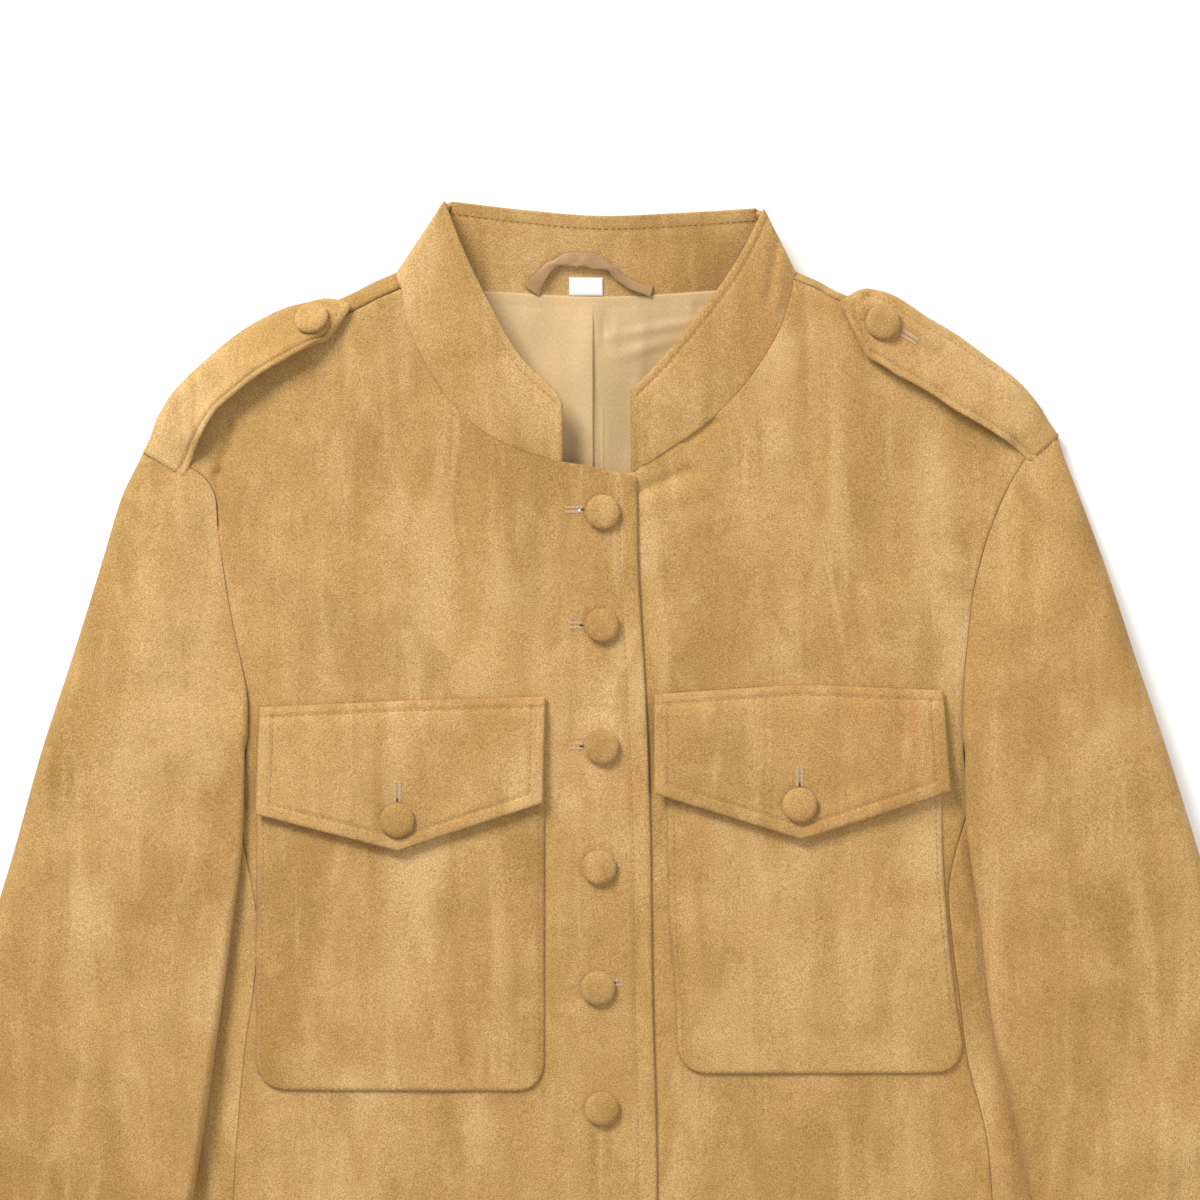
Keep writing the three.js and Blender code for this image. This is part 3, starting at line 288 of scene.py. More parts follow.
# Folds and dents of the fronts: from x, y to x, y, half width, height
BODY_FOLDS = [
    (-160, 20, -60, -40, 15, 1.2), (160, 0, 70, -30, 16, 1.1), (-120, 90, -95, 0, 14, 1.0),
    (110, 95, 90, 10, 15, -0.9), (-100, -250, -110, -430, 18, 1.5), (100, -240, 118, -420, 17, 1.3),
]
COLLAR_FOLDS = [(84, 169, 80, 142, 2.6, -1.3), (88, 165, 84, 142, 3.5, 0.8)]
FINE_FOLDS = [
    (-176, 30, -120, 2, 7, 0.7), (-172, 8, -128, -22, 6, -0.5), (172, 20, 126, -4, 7, 0.6),
    (168, -4, 120, -26, 6, -0.5), (-150, 96, -128, 44, 8, 0.5), (146, 98, 128, 48, 8, 0.5),
    (-70, 88, -40, 44, 9, 0.6), (62, 86, 46, 40, 8, 0.6), (-44, 40, -24, -30, 9, -0.5),
    (42, 20, 32, -40, 8, 0.4), (-60, -238, -40, -300, 12, 0.8), (-140, -250, -146, -330, 10, 0.8),
    (60, -236, 48, -320, 12, 0.7), (148, -232, 156, -330, 10, 0.8), (-20, -240, -10, -400, 9, 0.5),
    (30, -260, 36, -420, 10, 0.6), (-170, -170, -172, -260, 6, 0.6), (174, -150, 182, -260, 6, -0.6),
    (-176.4, 82, -181.5, 60, 2.3, -2.0), (-181.5, 60, -181.0, 36, 2.4, -1.6), (-171, 82, -176, 40, 5, 1.0),
    (18, 51, 42, 61, 3.0, -1.7), (24, 45, 46, 52, 5, 0.7), (42, 75, 54, 84, 2.4, -1.2),
    (182, 66, 168, 92, 3, -0.7), (-52, 66, -30, 52, 6, 0.5), (-64, -10, -52, -44, 9, -0.5),
    (70, 20, 96, -16, 10, 0.6), (120, 12, 134, -30, 9, 0.5), (-96, 30, -110, -20, 10, 0.5),
    (-76, -300, -66, -420, 11, -0.7), (66, -300, 74, -430, 10, -0.7), (-122, -300, -128, -430, 9, 0.6),
    (128, -260, 138, -400, 9, 0.6),
]


def folds(x, y, rows):
    x, y = np.asarray(x, float), np.asarray(y, float)
    total = np.zeros(np.broadcast(x, y).shape)
    for x1, y1, x2, y2, wide, high in rows:
        run = (x2 - x1) ** 2 + (y2 - y1) ** 2
        place = clamp(((x - x1) * (x2 - x1) + (y - y1) * (y2 - y1)) / run)
        away = np.hypot(x - x1 - place * (x2 - x1), y - y1 - place * (y2 - y1))
        total += high * np.exp(-((away / wide) ** 2))
    return total


def body_share(x, y):
    side = rounded((body_half(np.minimum(y, UNDERARM_Y)) - np.abs(x)) / BODY_FOLD)
    return np.where(y > UNDERARM_Y, 1.0, side) * rounded(shoulder_depth(x, y) / BODY_FOLD)


def body_top(x, y):
    share = body_share(x, y)
    still = folds(x, y, BODY_FOLDS) * ease(0, 0.9, share)
    fine = folds(x, y, FINE_FOLDS) + 0.35 * noise(x, y, 34, 3) + 0.14 * noise(x, y, 13, 4)
    return loft(x) * (0.5 + 0.5 * share) + still + fine * ease(0.5, 1.0, share)


def front_top(x, y, side):
    return body_top(x, y) + (OVERLAP_RISE * ease(-90, -28, x) if side == "left" else 0)


SEAMS = {
    "left": {
        "armhole": Curve([(-208.2, 68.6), (-197.5, 64), (-188.5, 58.5), (-183.4, 50.4), (-181.5, 31.8),
                          (-176.7, 0), (-168.6, -45.6), (-168.6, -72.7)]),
        "under_sleeve": Curve([(-168.6, -72.7), (-171, -84), (-174.5, -94)]),
        "side": Curve([(-174.5, -94), (-169.6, -116.4), (-162.5, -154.4), (-164.5, -185),
                       (-168.6, -212.8), (-172, -250), (-174.3, -285), (-178, -360), (-183, HEM_Y)]),
        "neck": Curve([(-93.6, 148.1), (-92.2, 135.4), (-81.2, 110.2), (-67, 90.3), (-47, 75.5),
                       (-17.6, 65.6)]),
        "extension": Curve([(-17.6, 65.6), (0, 62.7), (17.6, 58)]),
        "edge": Curve([(17.6, 58), (18.5, 11.9), (20.4, -22.8), (22.8, -68.9), (23.8, -104.5),
                       (24.5, -150.6), (25.2, -196.7), (26.6, -242.8), (27.1, -285), (28, -360),
                       (28.5, HEM_Y - 4)]),
    },
    "right": {
        "armhole": Curve([(212.6, 78), (202.4, 67), (190, 44.7), (179.1, 11.4), (174.8, -21.9),
                          (173.2, -72.7)]),
        "under_sleeve": Curve([(173.2, -72.7), (174.6, -84), (177.5, -95)]),
        "side": Curve([(177.5, -95), (172.9, -107.4), (167.7, -125.4), (165.8, -138.2),
                       (167.7, -163.4), (171.5, -192.9), (174.8, -218.1), (183.8, -254.6),
                       (186.7, -285), (190, -360), (195, HEM_Y)]),
        "neck": Curve([(91.8, 151.5), (85, 128.7), (73.2, 109.3), (56.5, 89.8), (41.3, 78.0), (14.6, 60.4)]),
        "extension": Curve([(14.6, 60.4), (2, 58), (-18, 55)]),
        "edge": Curve([(-18, 55), (-19, 0), (-20.5, -100), (-21, -200), (-22, -300), (-22.5, HEM_Y - 4)]),
    },
}
OUTER_PLACE = table([(0, 0), (0.24, 0.28), (0.3, 0.42), (0.45, 1), (0.5, 2), (1, 3)])
INNER_PLACE = table([(0, 0), (0.24, 1), (0.3, 2), (0.45, 2.17), (0.5, 2.235), (1, 3)])
FRONT_ROWS = spaced((0, 0.24, 73), (0.24, 0.3, 17), (0.3, 0.5, 61), (0.5, 1, 141))


def front_lines(side):
    """Outer and inner edge of a front as tables over its rows, with the shoulder seam at the top."""
    seams = SEAMS[side]
    outer = chain([seams["armhole"], seams["under_sleeve"], seams["side"]])(OUTER_PLACE(FRONT_ROWS))
    inner = chain([seams["neck"], seams["extension"], seams["edge"]])(INNER_PLACE(FRONT_ROWS))
    seam = inside_fold(side, np.linspace(0, 1, FOLD_STOPS * 6 + 1), SEAM_DEPTH[side])
    outer[0], inner[0] = seam[0], seam[-1]
    return outer, inner, seam


LINES = {side: front_lines(side) for side in SIDES}


# Sleeve heights

SLEEVES = {
    "left": {
        "outer": Curve([(-216.6, 71.3), (-220.8, 63.6), (-227.4, 49.8), (-237.8, 15.2), (-251, -27.8),
                        (-265.2, -71.1), (-281.2, -128.3), (-306, -205), (-330, -285), (-352, -375),
                        (-371, -484)]),
        "inner": Curve([(-168.6, -72.7), (-169.6, -116.4), (-174.3, -154.4), (-180.5, -200),
                        (-193.3, -285), (-213, -370), (-248, -515)]),
    },
    "right": {
        "outer": Curve([(217.4, 79), (220.8, 69), (227.8, 50.6), (240.8, 15.2), (254.8, -27.8),
                        (268, -66.4), (285.2, -121.5), (309.6, -200), (339, -290), (362, -375),
                        (383, -482)]),
        "inner": Curve([(173.2, -72.7), (173.9, -107.4), (180.5, -154.4), (184.1, -187.2),
                        (189.5, -218.1), (196.7, -245.6), (205, -285), (226, -370), (262, -513)]),
    },
}
CROWN = {"left": 165.0, "right": 172.0}
BACK_CROWN = 190.0
UNDER_START = 12.0
LIFT_LIMIT = 5.2
# The under sleeve's own seam below the underarm, on the right side
UNDER_SEAM = ((214.5, -150), (217, -200), (226, -285), (246, -370), (281, -506))
SLEEVE_CLEARANCE = 0.9

# Sleeve folds: run along the sleeve, share across from and to, half width in mm along, height
SLEEVE_FOLDS = {
    "left": [(40, 0.2, 0.9, 12, 0.8), (95, 0.45, 1.0, 9, 0.9), (128, 0.3, 1.0, 8, -0.8),
             (160, 0.5, 1.0, 9, 1.0), (215, 0.1, 0.75, 14, 0.9), (262, 0.4, 1.0, 12, -0.9),
             (300, 0.0, 0.6, 15, 1.2), (345, 0.3, 1.0, 13, 1.1), (392, 0.1, 0.7, 14, -0.8),
             (440, 0.2, 0.9, 13, 0.9), (500, 0.0, 0.8, 16, 0.7)],
    "right": [(48, 0.1, 0.8, 12, 0.8), (100, 0.5, 1.0, 9, 0.8), (140, 0.35, 1.0, 9, -0.8),
              (175, 0.45, 1.0, 10, 1.1), (228, 0.15, 0.8, 14, 0.9), (270, 0.4, 1.0, 12, 0.9),
              (312, 0.0, 0.6, 14, -1.0), (352, 0.3, 1.0, 14, 1.2), (405, 0.1, 0.8, 13, 0.8),
              (455, 0.2, 0.9, 14, -0.8), (510, 0.0, 0.8, 15, 0.7)],
}


def body_support(x, y):
    depth = body_half(np.minimum(y, UNDERARM_Y)) - np.abs(x)
    plain = loft(x) + folds(x, y, BODY_FOLDS)
    return (np.maximum(plain, loft(x)) + SLEEVE_CLEARANCE) * ease(-22, -1.5, depth)


def inner_half(run):
    return mix(2.2, 5.5, ease(0, 160, run))


def crest(run):
    return mix(BODY_LOFT_SIDE, SLEEVE_LOFT, ease(0, 120, run)) - 3 * ease(420, 580, run)


def sleeve_folds(side, run, share):
    total = 0
    for centre, start, end, wide, high in SLEEVE_FOLDS[side]:
        slant = centre + 22 * (share - 0.5)
        ridge = high * bump(run, slant, wide) * ease(start - 0.12, start + 0.15, share)
        total = total + ridge * ease(end + 0.1, end - 0.15, share)
    return total


# Building pieces

def place(points):
    """Garment millimetres to frame metres."""
    points = np.asarray(points, float) * MM
    return points + np.array([SHIFT_X, SHIFT_Y, 0.0])


def mesh_object(name, bm, material):
    mesh = bpy.data.meshes.new(name)
    for face in bm.faces:
        face.smooth = True
    bm.to_mesh(mesh)
    bm.free()
    mesh.materials.append(material)
    piece = bpy.data.objects.new(name, mesh)
    bpy.context.scene.collection.objects.link(piece)
    return piece


def grid_mesh(points):
    """A grid of faces with its vertices at rows of points."""
    nv, nu = points.shape[0] - 1, points.shape[1] - 1
    bm = bmesh.new()
    bmesh.ops.create_grid(bm, x_segments=nu, y_segments=nv, size=1.0)
    for vertex in bm.verts:
        i = int(round((vertex.co.x + 1) / 2 * nu))
        j = int(round((vertex.co.y + 1) / 2 * nv))
        vertex.co = points[j, i]
        vertex.index = j * (nu + 1) + i
    return bm


def cloth(name, columns, rows, surface, thickness, material, up=True, probe=(0.5, 0.5), kept=None):
    """A cloth wall: a grid put in place by a function of its shares, then thickened behind its face."""
    u, v = np.meshgrid(columns, rows)
    points = place(surface(u, v))
    bm = grid_mesh(points)
    if kept is not None:
        per_row = points.shape[1]
        gone = []
        for face in bm.faces:
            at = [vertex.index for vertex in face.verts]
            i, j = min(k % per_row for k in at), min(k // per_row for k in at)
            if not kept(i, j):
                gone.append(face)
        bmesh.ops.delete(bm, geom=gone, context="FACES")
    bmesh.ops.remove_doubles(bm, verts=bm.verts, dist=1e-6)
    goal = place(surface(np.array([[probe[0]]]), np.array([[probe[1]]])))[0, 0]
    nearest = min(bm.faces, key=lambda face: (face.calc_center_median() - Vector(goal)).length)
    nearest.normal_update()
    if (nearest.normal.z > 0) != up:
        bmesh.ops.reverse_faces(bm, faces=bm.faces)
    area = sum(face.calc_area() for face in bm.faces)
    piece = mesh_object(name, bm, material)
    wall = piece.modifiers.new("Thickness", "SOLIDIFY")
    wall.thickness = thickness * MM
    wall.offset = -1.0
    wall.use_even_offset = False
    flat = points.reshape(-1, 3)
    flat = flat - flat.mean(0)
    axes = np.linalg.svd(flat[:: max(1, len(flat) // 4000)], full_matrices=False)[2][:2]
    reach = [float(np.ptp(flat @ axis)) for axis in axes]
    piece["area"] = area
    piece["flat"] = (min(reach), max(reach))
    return piece


def dress(piece, nodes=()):
    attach(piece, "root")
    if nodes:
        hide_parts(*nodes)


def edge_dip(distance, reach=2.2, deep=0.7):
    """A turned cloth edge rolls down over its last millimetres."""
    return -deep * (1 - rounded(np.asarray(distance) / reach))


def stitch_groove(distance, line, deep=0.5, wide=1.1):
    return -deep * bump(distance, line, wide)


STITCHES = {}


def stitch_line(group, points, pitch=3.0, share=0.62, thick=0.3):
    """Notes the stitches along a path of points for one group, to be built together."""
    pitch = pitch * bpy.context.scene.jacket_sizes.stitch / (3.0 * MM)
    points = np.asarray(points, float)
    run = np.concatenate([[0], np.cumsum(np.linalg.norm(np.diff(points, axis=0), axis=1))])
    count = max(1, int(run[-1] / pitch))
    for k in range(count):
        ends = [(k + 0.5 - share / 2) / count * run[-1], (k + 0.5 + share / 2) / count * run[-1]]
        a, b = [np.array([np.interp(end, run, points[:, axis]) for axis in range(3)]) for end in ends]
        STITCHES.setdefault(group, []).append((a, b, thick))


def build_stitches(group, material):
    """All stitches of a group as one low-poly mesh of small rounded bars."""
    template = bmesh.new()
    bmesh.ops.create_uvsphere(template, u_segments=6, v_segments=4, radius=1.0)
    shape = bpy.data.meshes.new("stitch_shape")
    template.to_mesh(shape)
    template.free()
    bm = bmesh.new()
    for a, b, thick in STITCHES[group]:
        a, b = Vector(place(a)), Vector(place(b))
        middle, along = (a + b) / 2, b - a
        before = len(bm.verts)
        bm.from_mesh(shape)
        bm.verts.ensure_lookup_table()
        new = bm.verts[before:]
        turn = along.to_track_quat("Z", "Y").to_matrix().to_4x4()
        size = Matrix.Diagonal((thick * MM, thick * MM, along.length / 2, 1.0))
        bmesh.ops.transform(bm, matrix=Matrix.Translation(middle) @ turn @ size, verts=new)
    bpy.data.meshes.remove(shape)
    piece = mesh_object(group, bm, material)
    dress(piece)
    return piece


# Materials

def nodes_of(name):
    material = bpy.data.materials.new(name)
    material.use_nodes = True
    tree = material.node_tree
    tree.nodes.clear()
    out = tree.nodes.new("ShaderNodeOutputMaterial")
    shader = tree.nodes.new("ShaderNodeBsdfPrincipled")
    tree.links.new(shader.outputs["BSDF"], out.inputs["Surface"])
    return material, tree, shader


def add_noise(tree, vector, scale, detail=3.0, rough=0.55, distortion=0.0):
    node = tree.nodes.new("ShaderNodeTexNoise")
    node.inputs["Scale"].default_value = scale
    node.inputs["Detail"].default_value = detail
    node.inputs["Roughness"].default_value = rough
    node.inputs["Distortion"].default_value = distortion
    tree.links.new(vector, node.inputs["Vector"])
    return node.outputs["Fac"]


def spread(tree, value, low, high, to_low=0.0, to_high=1.0):
    node = tree.nodes.new("ShaderNodeMapRange")
    node.interpolation_type = "SMOOTHSTEP"
    for name, number in (("From Min", low), ("From Max", high), ("To Min", to_low), ("To Max", to_high)):
        node.inputs[name].default_value = number
    tree.links.new(value, node.inputs["Value"])
    return node.outputs["Result"]


def blend_colour(tree, share, a, b, kind="MIX"):
    node = tree.nodes.new("ShaderNodeMix")
    node.data_type = "RGBA"
    node.blend_type = kind
    for socket, value in ((node.inputs[0], share), (node.inputs[6], a), (node.inputs[7], b)):
        if hasattr(value, "is_linked"):
            tree.links.new(value, socket)
        elif isinstance(value, (int, float)):
            socket.default_value = value
        else:
            socket.default_value = (*value[:3], 1.0)
    return node.outputs[2]


def mapped(tree, offset=(0, 0, 0), turn=0.0, scale=(1, 1, 1)):
    where = tree.nodes.new("ShaderNodeTexCoord")
    move = tree.nodes.new("ShaderNodeMapping")
    move.inputs["Location"].default_value = offset
    move.inputs["Rotation"].default_value = (0, 0, turn)
    move.inputs["Scale"].default_value = scale
    tree.links.new(where.outputs["Object"], move.inputs["Vector"])
    return move.outputs["Vector"]


def add_bump(tree, height, strength, distance, below=None):
    node = tree.nodes.new("ShaderNodeBump")
    node.inputs["Strength"].default_value = strength
    node.inputs["Distance"].default_value = distance
    tree.links.new(height, node.inputs["Height"])
    if below is not None:
        tree.links.new(below, node.inputs["Normal"])
    return node.outputs["Normal"]


def suede(name, seed, turn=0.0):
    """Brushed suede: broad brushed patches, smaller blotches and a fine nap."""
    colours = bpy.context.scene.jacket_colours
    material, tree, shader = nodes_of(name)
    rng = np.random.RandomState(seed)
    offset = tuple(rng.uniform(-5, 5, 3))
    broad = mapped(tree, offset, turn, (1.5, 0.8, 1.0))
    plain = mapped(tree, offset, turn)
    streak = mapped(tree, offset, turn, (2.2, 0.35, 1.0))
    slanted = mapped(tree, offset, turn + 0.6, (2.6, 0.6, 1.0))
    base, dark, light = colours.suede, colours.suede_dark, colours.suede_light
    patches = add_noise(tree, broad, 9.0, 2.0, 0.5, 0.3)
    warm = add_noise(tree, mapped(tree, offset[::-1], turn), 12.0, 2.0, 0.5, 0.3)
    blotches = add_noise(tree, plain, 38.0, 3.0, 0.6, 0.3)
    streaks = add_noise(tree, streak, 24.0, 3.0, 0.6, 0.8)
    strokes = add_noise(tree, slanted, 20.0, 3.0, 0.6, 0.6)
    nap = add_noise(tree, plain, 3400.0, 2.0, 0.7)
    grain = add_noise(tree, plain, 1600.0, 3.0, 0.7, 0.4)
    layers = (
        (patches, 0.5, 0.7, 1.0, light), (patches, 0.5, 0.3, 0.85, dark),
        (warm, 0.5, 0.7, 0.7, colours.suede_warm),
        (blotches, 0.5, 0.74, 0.4, light), (blotches, 0.5, 0.26, 0.45, dark),
        (streaks, 0.5, 0.74, 0.55, light), (streaks, 0.48, 0.28, 0.45, dark),
        (strokes, 0.52, 0.72, 0.45, light), (strokes, 0.46, 0.28, 0.5, dark),
    )
    tone = base
    for value, low, high, most, colour in layers:
        tone = blend_colour(tree, spread(tree, value, low, high, 0.0, most), tone, colour)
    greys = ((nap, (0.82, 0.81, 0.78), (1.14, 1.14, 1.15)), (grain, (0.66, 0.64, 0.59), (1.3, 1.3, 1.33)))
    for value, low, high in greys:
        grey = blend_colour(tree, spread(tree, value, 0.32, 0.68), low, high)
        tone = blend_colour(tree, 1.0, tone, grey, "MULTIPLY")
    tree.links.new(tone, shader.inputs["Base Color"])
    shader.inputs["Roughness"].default_value = 0.95
    shader.inputs["Specular IOR Level"].default_value = 0.15
    shader.inputs["Sheen Weight"].default_value = 0.18
    shader.inputs["Sheen Roughness"].default_value = 0.45
    shader.inputs["Sheen Tint"].default_value = (1.0, 0.86, 0.62, 1.0)
    normal = add_bump(tree, nap, 0.35, 0.0005)
    normal = add_bump(tree, grain, 0.3, 0.0012, normal)
    normal = add_bump(tree, blotches, 0.25, 0.004, normal)
    tree.links.new(normal, shader.inputs["Normal"])
    return material


def satin(name, seed, colour):
    material, tree, shader = nodes_of(name)
    where = mapped(tree, (seed, 0, 0), 0.0, (1.0, 0.4, 1.0))
    fine = mapped(tree, (seed, 0, 0), 0.0, (1900.0, 600.0, 1.0))
    slow = add_noise(tree, where, 24.0, 2.0, 0.5)
    thread = add_noise(tree, fine, 1.0, 1.0, 0.5)
    shade = tuple(value * 0.84 for value in colour)
    tone = blend_colour(tree, spread(tree, slow, 0.35, 0.65), shade, tuple(colour))
    grey = blend_colour(tree, spread(tree, thread, 0.35, 0.65), (0.93, 0.92, 0.9), (1.05, 1.05, 1.05))
    tone = blend_colour(tree, 1.0, tone, grey, "MULTIPLY")
    tree.links.new(tone, shader.inputs["Base Color"])
    shader.inputs["Roughness"].default_value = 0.42
    shader.inputs["Sheen Weight"].default_value = 0.25
    shader.inputs["Sheen Roughness"].default_value = 0.3
    tree.links.new(add_bump(tree, thread, 0.12, 0.0002), shader.inputs["Normal"])
    return material


def plain_cloth(name, colour, rough=0.85, scale=2200.0):
    material, tree, shader = nodes_of(name)
    where = mapped(tree)
    weave = add_noise(tree, where, scale, 1.0, 0.5)
    shade = tuple(value * 0.9 for value in colour)
    tone = blend_colour(tree, spread(tree, weave, 0.35, 0.65), shade, tuple(colour))
    tree.links.new(tone, shader.inputs["Base Color"])
    shader.inputs["Roughness"].default_value = rough
    tree.links.new(add_bump(tree, weave, 0.25, 0.0003), shader.inputs["Normal"])
    return material


# Settings shown to a user

class JacketColours(bpy.types.PropertyGroup):
    suede: bpy.props.FloatVectorProperty(
        name="Suede", description="Main colour of the nap", subtype="COLOR", size=3,
        default=(0.515, 0.306, 0.108))
    suede_dark: bpy.props.FloatVectorProperty(
        name="Suede, brushed down", description="Darker brushed patches", subtype="COLOR", size=3,
        default=(0.390, 0.226, 0.070))
    suede_light: bpy.props.FloatVectorProperty(
        name="Suede, brushed up", description="Lighter brushed patches", subtype="COLOR", size=3,
        default=(0.650, 0.425, 0.185))
    suede_warm: bpy.props.FloatVectorProperty(
        name="Suede, warm", description="Redder patches of the nap", subtype="COLOR", size=3,
        default=(0.520, 0.275, 0.095))
    satin: bpy.props.FloatVectorProperty(
        name="Satin", description="Neck lining and loop", subtype="COLOR", size=3,
        default=(0.640, 0.440, 0.215))
    loop: bpy.props.FloatVectorProperty(
        name="Loop", description="Darker satin of the hanging loop", subtype="COLOR", size=3,
        default=(0.430, 0.255, 0.118))
    label: bpy.props.FloatVectorProperty(
        name="Label", description="Bare woven label", subtype="COLOR", size=3, default=(0.92, 0.91, 0.90))
    # Thread colour: partly the real tone-on-tone thread, partly darkened as painted shade of the stitch
    # grooves
    thread: bpy.props.FloatVectorProperty(
        name="Thread", description="Topstitching thread", subtype="COLOR", size=3,
        default=(0.440, 0.270, 0.105))
    buttonhole: bpy.props.FloatVectorProperty(
        name="Buttonhole thread", description="Paler thread round the buttonholes", subtype="COLOR", size=3,
        default=(0.700, 0.500, 0.340))
    # Near-black colour of the bar in each buttonhole opening: painted shade standing in for the shadow inside
    # the slit
    slit: bpy.props.FloatVectorProperty(
        name="Buttonhole slit", description="Dark opening of a buttonhole", subtype="COLOR", size=3,
        default=(0.060, 0.035, 0.020))


class JacketSizes(bpy.types.PropertyGroup):
    cell: bpy.props.FloatProperty(
        name="Mesh step", description="Distance between points of the large panels", subtype="DISTANCE",
        unit="LENGTH", default=0.0022, min=0.001)
    stitch: bpy.props.FloatProperty(
        name="Stitch pitch", description="Length of one topstitch with its gap", subtype="DISTANCE",
        unit="LENGTH", default=0.003, min=0.001)


# Pieces

def panel_step():
    return bpy.context.scene.jacket_sizes.cell / MM


class JACKET_OT_back(bpy.types.Operator):
    """Back panel, flat on the surface and over each shoulder to the forward shoulder seam"""
    bl_idname = "jacket.back"
    bl_label = "Back panel"

    def execute(self, context):
        neck = back_neck(11)
        shares = np.linspace(0, 1, FOLD_STOPS + 1)
        top = np.concatenate([inside_fold("left", shares, BODY_FOLD), neck[1:-1],
                              inside_fold("right", shares[::-1], BODY_FOLD)])
        count = len(top) - 1
        small = 1 / count
        arm_share = 0.36
        arm = {side: back_arm(side) for side in SIDES}

        def side_line(side):
            def read(v):
                v = np.asarray(v, float)
                y = mix(UNDERARM_Y, HEM_Y, (v - arm_share) / (1 - arm_share))
                low = np.stack([SIGN[side] * body_half(y), y], -1)
                return np.where((v <= arm_share)[..., None], arm[side](v / arm_share), low)
            return read

        half = body_half(HEM_Y)

        def hem(u):
            u = np.asarray(u, float)
            return np.stack([mix(-half, half, u), HEM_Y - 4 * np.sin(math.pi * u)], -1)

        top = read_rows(np.linspace(0, 1, count + 1), top)
        shape = patch(top, hem, side_line("left"), side_line("right"))

        def surface(u, v):
            edge = np.minimum(u, 1 - u)
            width = 2 * body_half(UNDERARM_Y)
            squeeze = ease(arm_share - 0.12, arm_share, v)
            drawn = np.where(edge < small, across(0.2 * edge / small, width, BODY_FOLD, 0) / width,
                             mix(BODY_FOLD / width, 0.5, (edge - small) / (0.5 - small)))
            near = mix(edge, drawn, squeeze)
            flat = shape(np.where(u < 0.5, near, 1 - near), clamp(v))
            x, y = flat[..., 0], flat[..., 1]
            side = rounded((body_half(np.minimum(y, UNDERARM_Y)) - np.abs(x)) / BODY_FOLD)
            opened = mix(1.0, side, ease(UNDERARM_Y + 30, UNDERARM_Y, y))
            out = np.stack([x, y, loft(x) * (0.5 - 0.5 * opened)], -1)
            turned = v < 0
            for name in SIDES:
                here = turned & ((u < 0.5) == (name == "left"))
                if not here.any():
                    continue
                share = clamp(np.where(u < 0.5, u, 1 - u)[here] * count / FOLD_STOPS)
                start = math.asin(max(0.0, 1 - SEAM_DEPTH[name] / BODY_FOLD))
                angle = mix(start, math.pi, v[here] + 1)
                spot = inside_fold(name, share, BODY_FOLD * (1 - np.sin(angle)))
                z = loft(spot[:, 0]) * (0.5 + 0.5 * np.cos(angle))
                out[here] = np.column_stack([spot, z])
            return out

        wrap = np.linspace(-1.0, 0, 15)[:-1]
        rows = np.concatenate([wrap, np.linspace(0, 1, 101)])
        shoulder = FOLD_STOPS / count
        columns = spaced((0.0012, small, 7), (small, shoulder, 30), (shoulder, 1 - shoulder, 37),
                         (1 - shoulder, 1 - small, 30), (1 - small, 1 - 0.0012, 7), digits=8)
        first = int(np.argmin(np.abs(columns - shoulder)))
        last = int(np.argmin(np.abs(columns - (1 - shoulder))))
        piece = cloth("back_panel_suede", columns, rows, surface, SUEDE, suede("suede_back", 11), up=False,
                      probe=(0.5, 0.6), kept=lambda i, j: j >= len(wrap) or i < first or i >= last)
        dress(piece, ["back_panel"])
        return {"FINISHED"}


